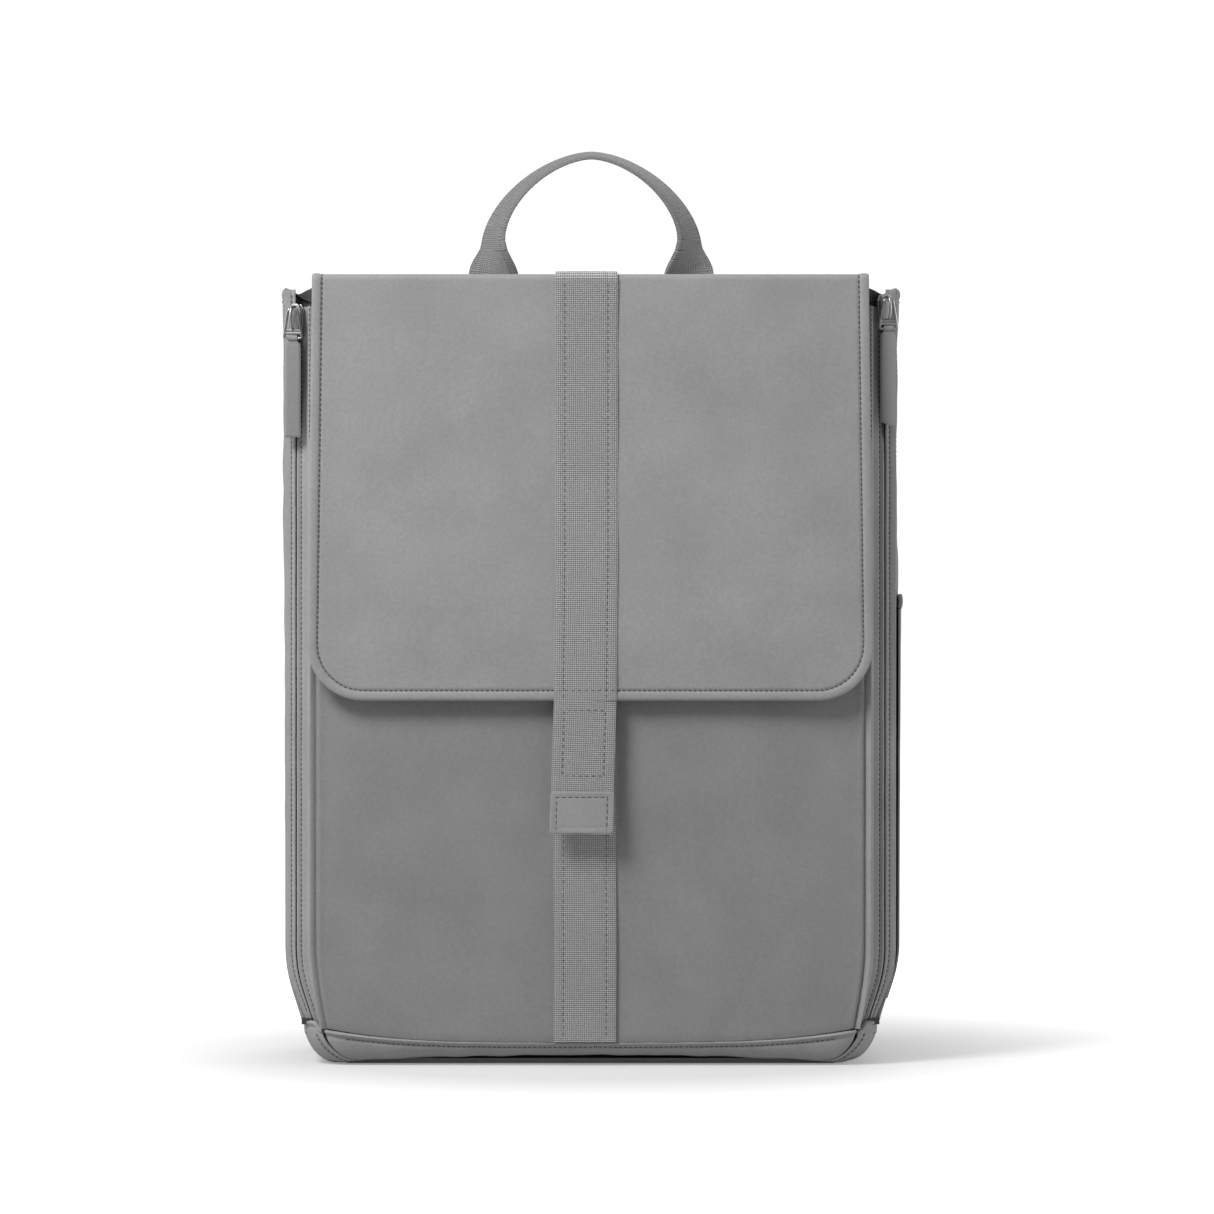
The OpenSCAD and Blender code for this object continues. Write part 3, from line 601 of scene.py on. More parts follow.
class BACKPACK_OT_stage(Operator):
    """Make the finishes, the pale floor, the soft lights and the camera"""

    bl_idname = "backpack.stage"
    bl_label = "Stage"

    def execute(self, context):
        scene = context.scene
        make_finishes(scene.backpack_colours, scene.backpack_sizes)
        stops = [-FLOOR_HALF, 0, FLOOR_HALF]
        floor = lay_grid("floor", stops, stops, lambda x, y: (x, y, 0), 0, facing=(0, 0, 1))
        paper = Finish("white_paper", (0.52, 0.52, 0.52), 0.8)
        paper.shade(paper.span(paper.grain(1.5), 0.99, 1.0))
        place = paper.coordinates.outputs["Object"]
        far = paper.node("VectorMath", {"operation": "LENGTH"}, n0=place).outputs["Value"]
        seen = paper.node("LightPath", {}).outputs["Is Camera Ray"]
        glow = paper.multiply(paper.span(far, 0.28, 1.0, 0.15, 0.42), seen)
        paper.shader.inputs["Emission Color"].default_value = (1, 1, 1, 1)
        paper.tree.links.new(glow, paper.shader.inputs["Emission Strength"])
        floor.data.materials.append(paper.material)
        world = scene.world or bpy.data.worlds.new("studio")
        scene.world = world
        world.use_nodes = True
        tree = world.node_tree
        background = tree.nodes["Background"]
        background.inputs[0].default_value = (1, 1, 1, 1)
        rays = tree.nodes.new("ShaderNodeLightPath")
        strength = tree.nodes.new("ShaderNodeMapRange")
        strength.inputs[3].default_value, strength.inputs[4].default_value = 0.18, 1.05
        tree.links.new(rays.outputs["Is Camera Ray"], strength.inputs[0])
        tree.links.new(strength.outputs[0], background.inputs[1])
        scene.view_settings.view_transform = "Standard"
        self.light(scene, "key", (-900, -1050, 1600), 750, 33)
        self.light(scene, "fill", (1500, -1600, 800), 1500, 2.0)
        self.light(scene, "left", (-1900, -250, 800), 900, 8)
        self.light(scene, "right", (1900, -250, 700), 1100, 11)
        self.light(scene, "back", (500, 1500, 1500), 1200, 10)
        camera = bpy.data.objects.new("camera", bpy.data.cameras.new("camera"))
        camera.data.sensor_width = 36
        camera.data.lens = 150
        camera.location = Vector((VIEW_SIDE, FRONT_Y - VIEW_BACK, VIEW_H)) * MM
        camera.rotation_euler = (math.pi / 2, 0, 0)
        scene.collection.objects.link(camera)
        scene.camera = camera
        return {"FINISHED"}

    @staticmethod
    def light(scene, name, place, size, power):
        lamp = bpy.data.lights.new(name, "AREA")
        lamp.shape = "DISK"
        lamp.size = size * MM
        lamp.energy = power
        obj = bpy.data.objects.new(name, lamp)
        obj.location = Vector(place) * MM
        aim = Vector((0, 0, AIM_H)) * MM - obj.location
        obj.rotation_euler = aim.to_track_quat("-Z", "Y").to_euler()
        scene.collection.objects.link(obj)


# ---------- Flap and lid ----------


def flap_out(z):
    return mix(FLAP_TOP_OUT, FLAP_LOW_OUT, ease((FOLD_Z - z) / (FOLD_Z - FLAP_LOW)))


def flap_face(t):
    """Point and outward direction of the flap's outer face, t millimetres from the back of its lap"""
    if t <= LAP:
        return Vector((0, FOLD_Y + LAP - t, LID_Z)), Vector((0, 0, 1))
    turn = (t - LAP) / FOLD_R
    if turn < math.pi / 2:
        out = Vector((0, -math.sin(turn), math.cos(turn)))
        return Vector((0, FOLD_Y, FOLD_Z)) + out * FOLD_R, out
    z = FOLD_Z - (t - LAP - FOLD_R * math.pi / 2)
    return Vector((0, FRONT_Y - flap_out(z) - FLAP_T, z)), Vector((0, -1, 0))


FLAP_BEND = LAP + FOLD_R * math.pi / 2      # where the flap's straight drop starts
FLAP_LENGTH = FLAP_BEND + FOLD_Z - FLAP_LOW
RINGS = [0, 0.5, 1.2, 2.2, 3.2, 4.0, 4.6, 5.0, 5.4, 6.0, 7.0, 9.0]
FLAP_HINGE = ((0, FOLD_Y + FOLD_R, FOLD_Z + FOLD_R), (0, FOLD_Y - FOLD_R, FOLD_Z - FOLD_R))


def edge_lift(d, roll):
    """Height of the cloth over a rolled and stitched edge, d millimetres in from it"""
    if d >= 9:
        return 0.0
    rolled = 0.55 * math.sin(math.pi * clamp(d / roll)) ** 0.6 if d < roll else 0.0
    return rolled - 0.5 * bump(d, roll + 0.5, 0.5) - 0.3 * bump(d, 0, 0.4)


def flap_half(z):
    return LID_HALF + FLAP_FLARE * clamp((FOLD_Z - z) / (FOLD_Z - FLAP_LOW))


def flap_row(row, d):
    """Half width and distance down the flap of one row, d millimetres in from its edge"""
    kind, value = row
    if kind == "straight":
        return flap_half(flap_face(value)[0].z) - d, value
    r = FLAP_CORNER
    down = FLAP_LENGTH - r + (r - d) * math.sin(value)
    return flap_half(flap_face(down)[0].z) - r + (r - d) * math.cos(value), down


def flap_rows():
    lap = [t for t in RINGS if t < LAP] + [LAP]
    arc = steps(LAP, FLAP_BEND, 8)[1:]
    drop = steps(FLAP_BEND, FLAP_LENGTH - FLAP_CORNER, 44)[1:]
    corner = steps(0, math.pi / 2, 12)[1:]
    return [("straight", t) for t in lap + arc + drop] + [("corner", a) for a in corner]


def flap_point(x, t, d, roll, deep=0.0):
    face, out = flap_face(t)
    swell = 0.0
    if t > FLAP_BEND:
        calm = ease((t - FLAP_BEND) / 40)
        swell = calm * ease((d - 5) / 30) * (0.6 + 0.9 * ripple(x, t, 3.1, 75) + 0.35 * ripple(x, t, 8.2, 30))
    return face + Vector((x, 0, 0)) + out * (edge_lift(min(d, t + 0.001), roll) * (deep == 0) + swell - deep)


def flap_sheet(name, roll, thickness, deep=0.0, inset=0.0):
    rows = flap_rows()
    if inset:
        rows = [row for row in rows if row[0] == "corner" or row[1] > FLAP_BEND + 8]
    rings = [inset + d for d in RINGS]
    columns = steps(-1, 1, 56)
    ring, reach = len(rings) - 1, rings[-1]
    us = list(range(ring)) + [ring + n for n in range(len(columns))]
    us += [us[-1] + 1 + n for n in range(ring)]
    vs = list(range(ring + len(rows)))
    last = us[-1]

    def shape(i, j):
        if j < ring:
            half, down = flap_row(("corner", math.pi / 2), rings[j])
            if i < ring or i > last - ring:
                return 0, 0, 0
            return flap_point(columns[i - ring] * half, down, rings[j], roll, deep)
        row = rows[len(rows) - 1 - (j - ring)]
        if i < ring:
            half, down = flap_row(row, rings[i])
            return flap_point(-half, down, rings[i], roll, deep)
        if i > last - ring:
            half, down = flap_row(row, rings[last - i])
            return flap_point(half, down, rings[last - i], roll, deep)
        half, down = flap_row(row, reach)
        x = columns[i - ring] * half
        edge = min(reach + (half - abs(x)), FLAP_LENGTH - down)
        return flap_point(x, down, edge, roll, deep)

    return lay_grid(name, us, vs, shape, thickness, facing=(0, -1, 0), rim=0.0 if deep else 0.7,
                    omit=lambda i, j: j < ring and (i < ring or i > last - ring))


def flap_seam(inset, top):
    """Line round the flap, inset millimetres in from its edge, with its outward direction"""
    rows = [row for row in flap_rows() if row[0] == "corner" or row[1] >= top]
    right = [flap_row(row, inset) for row in rows]
    line = [(-half, down) for half, down in right] + right[::-1]
    found = []
    for x, down in line:
        face, out = flap_face(down)
        found.append((face + Vector((x, 0, 0)) + out * -0.05, out))
    return found


class BACKPACK_OT_flap(Operator):
    """Make the front flap with its rolled and stitched edge, its lining and the lid behind it"""

    bl_idname = "backpack.flap"
    bl_label = "Flap and Lid"

    def execute(self, context):
        roll = mm(context.scene.backpack_sizes.roll)
        bend = ("lid", "flap", *FLAP_HINGE)
        flap = dress(flap_sheet("flap_cover", roll, FLAP_T - 0.4), finish("cloth"),
                     bend=bend, instead=["flap_panel"])
        lining = dress(flap_sheet("flap_back", roll, 0.4, FLAP_T + 0.1, 3.0), finish("lining"),
                       body="flap", instead=["flap_lining"])
        across = [(Vector((x, FOLD_Y + LAP - roll - 0.5, LID_Z - 0.05)), Vector((0, 0, 1)))
                  for x in (-LID_HALF + 6, -WEB_HALF - 1)]
        other = [(Vector((-p.x, p.y, p.z)), n) for p, n in across]
        sew("flap_stitches", [flap_seam(roll + 0.5, LAP), across, other], bend=bend)
        self.lid(roll)
        return {"FINISHED"}

    @staticmethod
    def lid(roll):
        half = LID_HALF
        us = [-half + d for d in RINGS] + steps(-half + 14, half - 14, 44)
        us += [half - d for d in reversed(RINGS)]
        front, back = FOLD_Y + FOLD_R + 0.5, BACK_Y + 0.2
        vs = steps(front, FOLD_Y + LAP + 3, 5)[:-1] + steps(FOLD_Y + LAP + 3, back, 40)

        def shape(x, y):
            dip = -FLAP_T - 0.1 + (FLAP_T + 0.1) * ease((y - FOLD_Y - LAP - 0.2) / 2.2)
            d = half - abs(x)
            swell = (0.8 * ripple(x, y, 5.5, 60) - 0.2) * ease(d / 30) * ease((y - FOLD_Y - LAP) / 15)
            crease = -0.5 * bump(y, LID_HINGE_Y, 1.2)
            return x, y, LID_Z + dip + edge_lift(d, roll) + swell + crease - 1.5 * bump(y, back, 1.6)

        bend = ("bag", "lid", (0, LID_HINGE_Y + 5, LID_Z), (0, LID_HINGE_Y - 5, LID_Z))
        lid = dress(lay_grid("lid_cover", us, vs, shape, LID_T - 0.4, facing=(0, 0, 1), rim=0.7),
                    finish("cloth"), bend=bend, instead=["lid_panel", "top_yoke"])
        rows = []
        for side in (-1, 1):
            rows.append([(Vector((side * (half - roll - 0.5), y, LID_Z - 0.08)), Vector((0, 0, 1)))
                         for y in (FOLD_Y + LAP + 3, back - 6)])
        for start, end in ((-half + 8, -WEB_HALF - 3), (WEB_HALF + 3, half - 8)):
            rows.append([(Vector((x, back - 5, LID_Z - 0.08)), Vector((0, 0, 1))) for x in (start, end)])
        sew("lid_stitches", rows, bend=bend)


# ---------- Webbing ----------


WEB_STOPS = [-1, -0.975, -0.9, -0.8, -0.72, -0.69, -0.66, -0.6, -0.4, -0.2]
WEB_STOPS = WEB_STOPS + [0] + [-k for k in reversed(WEB_STOPS)]
ROW_IN = 0.69       # place of the stitch rows between the middle and the edge
SUNK = 0.12         # how deep the stitch rows lie in the webbing
WEB_STITCH = {"pitch": 3.4, "length": 1.9, "radius": 0.26}


def across_at(at, s, length):
    """Directions along and across a strip, s millimetres along it"""
    along = (at(min(s + 0.2, length))[0] - at(max(s - 0.2, 0))[0]).normalized()
    return along, along.cross(at(s)[1]).normalized()


def strip(name, length, half, thickness, at, ribs=True):
    """Webbing along a line: at(s) gives its middle and outward direction, s millimetres along"""
    rib = mm(bpy.context.scene.backpack_sizes.rib)
    count = round(length / rib * 4) if ribs else max(8, round(length / 4))

    def shape(k, s):
        along, across = across_at(at, s, length)
        out = across.cross(along)
        height = -0.3 * abs(k) ** 14 - 0.2 * bump(abs(k), ROW_IN, 0.03)
        if ribs:
            height += 0.1 * math.sin(2 * math.pi * s / rib)
        return at(s)[0] + across * (k * half) + out * height

    return lay_grid(name, WEB_STOPS, steps(0, length, count), shape, thickness - 0.15,
                    cloth=(half, 1.0), rim=0.3, even=False)


def strip_rows(at, length, half, start, end, ks=(-ROW_IN, ROW_IN)):
    """Stitch lines along a webbing strip"""
    rows = []
    for k in ks:
        row = []
        for s in steps(start, end, 60):
            middle, out = at(s)
            row.append((middle + across_at(at, s, length)[1] * (k * half) - out * SUNK, out))
        rows.append(row)
    return rows


def tab_at(s):
    """The closure tab hangs from the flap's edge, leans a little and flares out"""
    z = FLAP_LOW - s
    t = clamp(s / (FLAP_LOW - TAB_LOW))
    return Vector((-2.7 - 2.0 * t, TAB_FACE - TAB_FLARE * t, z)), Vector((0, -1, 0.03)).normalized()


def flap_web_at(s):
    face, out = flap_face(s)
    x = -2.0 - 0.7 * ease((s - 150) / 80)
    return face + Vector((x, 0, 0)) + out * WEB_T, out


class BACKPACK_OT_webbing(Operator):
    """Make the webbing over the lid and flap, the closure tab, its patch and the webbing below"""

    bl_idname = "backpack.webbing"
    bl_label = "Closure Webbing"

    def execute(self, context):
        half = WEB_HALF
        flap_bend = ("lid", "flap", *FLAP_HINGE)
        length = FLAP_LENGTH
        dress(strip("flap_web", length, half, WEB_T, flap_web_at), finish("webbing"),
              bend=flap_bend, instead=["flap_webbing"])
        rows = strip_rows(flap_web_at, length, half, LAP + 6, length - 1)
        hem = length - 5.2
        face, out = flap_web_at(hem)
        rows.append([(face + Vector((k * half * 0.92, 0, 0)) - out * 0.1, out) for k in (-1, 1)])
        sew("flap_web_stitches", rows, bend=flap_bend, slot="webbing", **WEB_STITCH)
        back = LID_HINGE_Y - 4
        lid_length = back - (FOLD_Y + LAP + 0.3)

        def lid_at(s):
            return Vector((-2.0, back - s, LID_Z + WEB_T)), Vector((0, 0, 1))

        dress(strip("lid_web", lid_length, half, WEB_T, lid_at), finish("webbing"),
              body="lid", instead=["lid_webbing"])
        rows = strip_rows(lid_at, lid_length, half, 2, lid_length - 2)
        sew("lid_web_stitches", rows, body="lid", slot="webbing", **WEB_STITCH)
        self.tab(half)
        self.front(half)
        self.clasp()
        return {"FINISHED"}

    @staticmethod
    def tab(half):
        length = FLAP_LOW - TAB_LOW
        bend = ("flap", "tab", (0, TAB_FACE, FLAP_LOW + 3), (0, TAB_FACE, TAB_TOP - 4))
        dress(strip("tab_web", length, half, WEB_T, tab_at), finish("webbing"),
              bend=bend, instead=["closure_tab"])
        box_top, box_low = 5.0, 40.0
        rows = strip_rows(tab_at, length, half, box_top, box_low, (-0.66, 0.66))
        for s in (box_top, box_low - 1.5):
            middle, out = tab_at(s)
            rows.append([(middle + Vector((k * half * 0.62, 0, 0)) - out * 0.1, out) for k in (-1, 1)])
        sew("tab_stitches", rows, body="tab", slot="webbing", pitch=3.4, length=2.0, radius=0.27)
        top = length - PATCH_H

        def shape(u, v):
            middle, out = tab_at(top + v * PATCH_H)
            e = min((1 - abs(u)) * half, v * PATCH_H, (1 - v) * PATCH_H)
            rounded = sum(1.5 * clamp(1 - end * PATCH_H / 1.5) ** 2 for end in (v, 1 - v))
            lift = 1.0 + 0.18 * bump(e, 1.1, 0.7) - 0.15 * bump(e, 3.0, 0.5)
            return middle + Vector((u * (half - rounded + 0.3), 0, 0)) + out * lift

        us = [-1, -0.98, -0.95, -0.92, -0.88, -0.84, -0.81, -0.78, -0.7] + steps(-0.6, 0.6, 12)
        us += [-u for u in reversed(us[:9])]
        dress(lay_grid("tab_end", us, steps(0, 1, 34), shape, 0.95, facing=(0, -1, 0), rim=0.3),
              finish("patch"), body="tab", instead=["tab_patch"])
        path = []
        for u, v in [(-0.81, 0.97), (-0.81, 0.14), (0.81, 0.14), (0.81, 0.97)]:
            middle, out = tab_at(top + v * PATCH_H)
            path.append((middle + Vector((u * half, 0, 0)) + out * 0.9, out))
        sew("tab_end_stitches", [path], body="tab", pitch=3.3, length=2.2, radius=0.26)

    @staticmethod
    def front(half):
        top, bottom = high("front_webbing").z, low("front_webbing").z - 1.5
        length = top - bottom

        def at(s):
            x = -2.9 + 0.4 * ripple(s, 5, 2.2, 60)
            sway = 0.35 * ripple(s, 0, 9.4, 40)
            return Vector((x, FRONT_Y - SEAM - WEB_T + sway, top - s)), Vector((0, -1, 0))

        dress(strip("front_web", length, half, WEB_T, at), finish("webbing"),
              body="bag", instead=["front_webbing"])
        sew("front_web_stitches", strip_rows(at, length, half, 3, length - 3), slot="webbing", **WEB_STITCH)

    @staticmethod
    def clasp():
        """Two round metal halves of the magnetic clasp, each with a rolled rim"""
        for node, body in (("clasp_base", "bag"), ("clasp_cap", "tab")):
            lo, hi = extent(node)
            deep = hi.y - lo.y
            radius = (hi.x - lo.x) / 2
            deselect()
            bpy.ops.mesh.primitive_cylinder_add(
                vertices=40, radius=radius * MM, depth=deep * MM, location=(lo + hi) / 2 * MM,
                rotation=(math.pi / 2, 0, 0))
            obj = bpy.context.object
            bpy.ops.object.transform_apply(location=True, rotation=True, scale=True)
            bm = bmesh.new()
            bm.from_mesh(obj.data)
            caps = [f for f in bm.faces if len(f.verts) > 4]
            for cap in caps:
                bmesh.ops.inset_region(bm, faces=[cap], thickness=radius * 0.25 * MM, depth=0)
                bmesh.ops.inset_region(bm, faces=[cap], thickness=radius * 0.08 * MM, depth=-0.25 * MM)
                bmesh.ops.inset_region(bm, faces=[cap], thickness=radius * 0.25 * MM, depth=0)
            bm.to_mesh(obj.data)
            bm.free()
            modify(obj, "BEVEL", width=0.25 * MM, segments=2, limit_method="ANGLE",
                   angle_limit=math.radians(35))
            obj.name = obj.data.name = node.replace("clasp", "clasp_metal")
            dress(obj, finish("metal"), body=body, instead=[node])


# ---------- Body ----------


def seam_z(x):
    """Height of the front seam between the body and the base band"""
    return mix(BASE_H - SEAM_DIP, BASE_H, (abs(x) / FRONT_HALF) ** 4)


def side_y(u):
    return mix(SIDE_START, SIDE_END, u)


def side_x(u, z):
    """Half width of the bowed gusset, u from its front edge to its back edge"""
    return mix(ZIP_OUT + SEAM, BACK_HALF - SEAM, u) + mix(2.5, 8.0, z / BODY_H) * math.sin(math.pi * u)


class BACKPACK_OT_walls(Operator):
    """Make the front panel, the corner strips, the side gussets and the back panel"""

    bl_idname = "backpack.walls"
    bl_label = "Walls"

    def execute(self, context):
        wander = mm(context.scene.backpack_sizes.ripple)
        self.front(wander)
        for side in (-1, 1):
            self.strip(side)
            self.gusset(side, wander)
        self.back(wander)
        self.pocket()
        return {"FINISHED"}

    @staticmethod
    def front(wander):
        def shape(k, v):
            bottom = seam_z(k * FRONT_HALF) + SEAM - 1.0
            z = mix(bottom, BODY_H - 6, v)
            x = k * (FRONT_HALF - SEAM) * draw_in(z)
            d = min((1 - abs(k)) * FRONT_HALF, (z - bottom) * 1.2)
            calm = ease(d / 25)
            folds = wander * (ripple(x, z, 1.7, 70) + 0.6 * ripple(x * 1.6, z * 0.5, 4.4, 34)) * calm
            pucker = 0.35 * bump(z - bottom, 5, 7) * ripple(x, 0, 6.1, 9)
            edge = (1 - abs(k)) * FRONT_HALF
            roll = 0.5 * bump(edge, 2.2, 1.6) - 1.6 * bump(edge, 0, 0.9)
            full = 1.5 * (k * k - ease((abs(x) - WEB_HALF - 4) / 60) * 0.2)
            return x, FRONT_Y + full + 1.2 * abs(k) ** 12 - folds - 0.2 - pucker - roll + 0.8 * set_back(z), z

        us = [-1, -0.996, -0.99, -0.983, -0.975, -0.965, -0.95] + steps(-0.93, 0.93, 90)
        us += [-k for k in reversed(us[:7])]
        # the front panel takes the darker lower copy of the cloth: painted shade under the flap
        obj = dress(lay_grid("front_cover", us, steps(0, 1, 80), shape, 2.6, facing=(0, -1, 0)),
                    finish("lower"), body="bag", instead=["front_panel"])

    @staticmethod
    def strip(side):
        def shape(a, v):
            z = mix(WALL_LOW - 2, BODY_H, v)
            turn = math.radians(max(a, 0))
            x = mix(FRONT_HALF + 2.3, ZIP_IN, math.sin(turn)) + 0.25 * ripple(z, a / 6, 2.4 + side, 22)
            x -= 3.6 * clamp(-a / 40)
            z -= 10.0 * ease((z - BODY_H + 30) / 30)
            y = FRONT_Y + 1.5 + 8.2 * (1 - math.cos(turn)) + 2.6 * clamp(-a / 40) ** 1.5 + set_back(z)
            return side * (x * draw_in(z) - foot_in(z) * clamp(a / 90) ** 1.5), y, z

        turns = steps(-40, 0, 6)[:-1] + steps(0, 90, 10)
        obj = lay_grid(f"front_strip_{SIDES[side]}", turns, steps(0, 1, 90), shape, 1.5,
                       facing=(side, -1, 0), cloth=(0.1, 380))
        dress(obj, finish("cloth"), body="bag", instead=[f"front_gusset_{SIDES[side]}"])
        rows = [[(Vector((side * (FRONT_HALF + 2.55) * draw_in(z), FRONT_Y + 2.6, z)),
                  Vector((side * 0.5, -1, 0))) for z in steps(WALL_LOW + 3, BODY_H - 3, 60)]]
        sew(f"strip_stitches_{SIDES[side]}", rows)

    @staticmethod
    def gusset(side, wander):
        def shape(u, v):
            z = mix(WALL_LOW, BODY_H, v)
            calm = ease(min(u, 1 - u) * 7) * ease(v * 12)
            folds = wander * 2.2 * calm * (
                ripple(u * 120, z, 7.3 + side, 60) + 0.5 * ripple(u * 120, z * 2.2, 1.1 + side, 38))
            roll = 0.6 * bump(z, BODY_H - 2.2, 1.8) - 0.5 * bump(z, BODY_H - HEM, 0.7)
            edge = 0.35 * bump(u, 0.012, 0.012) - 0.3 * bump(u, 0.05, 0.006)
            x = side_x(u, z) + folds + roll + edge
            inward = foot_in(z) * clamp(1 - u * 2.2) ** 2
            return side * (x * draw_in(z) - inward), side_y(u), z

        us = [0, 0.006, 0.014, 0.025, 0.038, 0.045, 0.05, 0.055, 0.065] + steps(0.08, 1, 44)
        vs = steps(0, 0.97, 76) + [0.976, 0.981, 0.984, 0.987, 0.99, 0.9935, 0.997, 1]
        obj = lay_grid(f"side_cover_{SIDES[side]}", us, vs, shape, 2.6, facing=(side, 0, 0), cloth=(108, 380))
        dress(obj, finish("cloth"), body="bag", instead=[f"side_gusset_{SIDES[side]}"])
        edge = []
        for z in steps(WALL_LOW + 4, BODY_H - 8, 80):
            x = side_x(0.05, z) * draw_in(z) - 0.8 * foot_in(z)
            place = Vector((side * (x - 0.05), side_y(0.05), z))
            edge.append((place, Vector((side, -0.3, 0))))
        top = [(Vector((side * (side_x(u, BODY_H) - 0.3), side_y(u), BODY_H - HEM)), Vector((side, 0, 0)))
               for u in steps(0.06, 0.97, 40)]
        sew(f"side_stitches_{SIDES[side]}", [edge, top])

    @staticmethod
    def back(wander):
        turn = BACK_CORNER * math.pi / 2
        flat = BACK_HALF - BACK_CORNER

        def shape(q, v):
            top = LID_Z - LID_T - SEAM
            z = mix(WALL_LOW, top, v)
            a = clamp((abs(q) - flat) / turn) * math.pi / 2
            x = min(abs(q), flat) + BACK_CORNER * math.sin(a)
            y = BACK_Y - BACK_CORNER * (1 - math.cos(a))
            calm = clamp(1 - a) * ease(v * 12) * ease((1 - v) * 12)
            y += wander * 0.5 * ripple(q, z, 4.9, 60) * calm - 0.4
            return math.copysign(x, q) * draw_in(z), y, z

        reach = flat + turn
        us = steps(-reach, -flat, 10) + steps(-flat, flat, 50)[1:] + steps(flat, reach, 10)[1:]
        obj = dress(lay_grid("back_cover", us, steps(0, 1, 60), shape, 2.4, facing=(0, 1, 0), cloth=(1, 380)),
                    finish("cloth"), body="bag", instead=["back_panel"])

    @staticmethod
    def pocket():
        """Bottle pocket on the right side, gathered into an elastic hem"""
        bottom, hem_low, top = low("side_pocket").z, low("pocket_hem").z, high("pocket_hem").z

        def base(u, z):
            """The gusset under the pocket, and how far the cloth stands off it without folds"""
            inward = foot_in(z) * clamp(1 - u * 2.2) ** 2
            return side_x(mix(0.06, 0.94, u), z) + 1.4 + ease((z - bottom) / 30) - inward

        def wall(u, v):
            z = mix(bottom, hem_low, v)
            gather = 0.35 * ripple(u * 110, z * 0.25, 3.3, 7) * ease((z - 90) / 130)
            return (base(u, z) + gather) * draw_in(z), side_y(mix(0.06, 0.94, u)), z

        def band(u, v):
            z = mix(hem_low, top, v)
            x = base(u, z) + 0.9 * math.sin(math.pi * v) ** 0.5 + 0.25 * ripple(u * 110, 0, 5.1, 4)
            return x * draw_in(z), side_y(mix(0.06, 0.94, u)), z

        sheet = lay_grid("bottle_pocket", steps(0, 1, 60), steps(0, 1, 60), wall, 1.1,
                         facing=(1, 0, 0), cloth=(95, 200))
        dress(sheet, finish("cloth"), body="bag", instead=["side_pocket"])
        hem = lay_grid("bottle_hem", steps(0, 1, 90), steps(0, 1, 12), band, 1.8,
                       facing=(1, 0, 0), cloth=(95, 8))
        dress(hem, finish("cloth"), body="bag", instead=["pocket_hem"])
        row = [(Vector((side_x(u, hem_low) + 2.5, side_y(u), hem_low + 0.2)), Vector((1, 0, 0)))
               for u in steps(0.08, 0.92, 40)]
        sew("pocket_stitches", [row])


# ---------- Base ----------


BAND_ROW = 3.2      # drop from the band's top seam to its stitch row
RING_STRAIGHT = CORNER_SEAM + 1.0
RING_ARC = BASE_R * math.pi / 2
RING_SIDE = RING_STRAIGHT + RING_ARC
RING_DEPTH = RING_BACK - RING_FRONT - 2 * BASE_R
RING_HALF = RING_SIDE + RING_DEPTH + RING_ARC + BASE_HALF - BASE_R


def ring_at(q):
    """Point and outward direction of the base outline, q millimetres from the middle of the front"""
    s, sign = abs(q), math.copysign(1, q)
    if s < RING_STRAIGHT:
        return Vector((q, RING_FRONT, 0)), Vector((0, -1, 0))
    a = (s - RING_STRAIGHT) / BASE_R
    if a < math.pi / 2:
        out = Vector((sign * math.sin(a), -math.cos(a), 0))
        return Vector((sign * RING_STRAIGHT, RING_FRONT + BASE_R, 0)) + out * BASE_R, out
    s -= RING_SIDE
    if s < RING_DEPTH:
        return Vector((sign * (RING_STRAIGHT + BASE_R), RING_FRONT + BASE_R + s, 0)), Vector((sign, 0, 0))
    a = (s - RING_DEPTH) / BASE_R
    if a < math.pi / 2:
        out = Vector((sign * math.cos(a), math.sin(a), 0))
        return Vector((sign * RING_STRAIGHT, RING_BACK - BASE_R, 0)) + out * BASE_R, out
    return Vector((sign * (RING_HALF - abs(q)), RING_BACK, 0)), Vector((0, 1, 0))


def arch(x):
    return mix(0.8, 5.0, clamp(1 - (x / CORNER_SEAM) ** 2) ** 0.6)


def foot_in(z):
    """How much further the corners draw in just above the base"""
    return 3.6 * ease((52 - z) / 36)


def set_back(z):
    """How far the body falls back behind the flap near its open top"""
    return 3.2 * ease((z - 300) / 70)


def band_end(v):
    """How far from the middle the front band reaches, from its top seam to its lower edge"""
    return FRONT_HALF - 3.4 - 27 * v ** 1.9


def band_point(q, v, top, bottom, proud=0.0, wave=0.0, tuck=BASE_INSET):
    """Quarter-round band that hangs from its top seam and turns under, with a rolled upper edge"""
    place, out = ring_at(q)
    a = v * math.pi / 2
    under = tuck * (1 - math.cos(a))
    z = mix(top, bottom, math.sin(a))
    down = top - z
    roll = math.sin(math.pi * clamp(down / 2.2)) ** 0.6 - 0.7 * bump(down, 0, 0.5) if down < 2.2 else 0.0
    roll -= 0.35 * bump(down, BAND_ROW, 0.7)
    lift = proud + roll + wave * ease(v * 1.6) * (ripple(q, 0, 1.3, 17) + 0.5 * ripple(q, 3, 2.6, 7))
    shift = place - out * (under - lift * math.cos(a * 0.6))
    return Vector((shift.x, shift.y, z + 0.9 * wave * v * ripple(q, 8, 4.1, 15)))


def corner_tuck(q):
    """The band turns further under past the front corners"""
    return mix(BASE_INSET, BASE_TUCK, ease((abs(q) - CORNER_SEAM + 10) / 30))


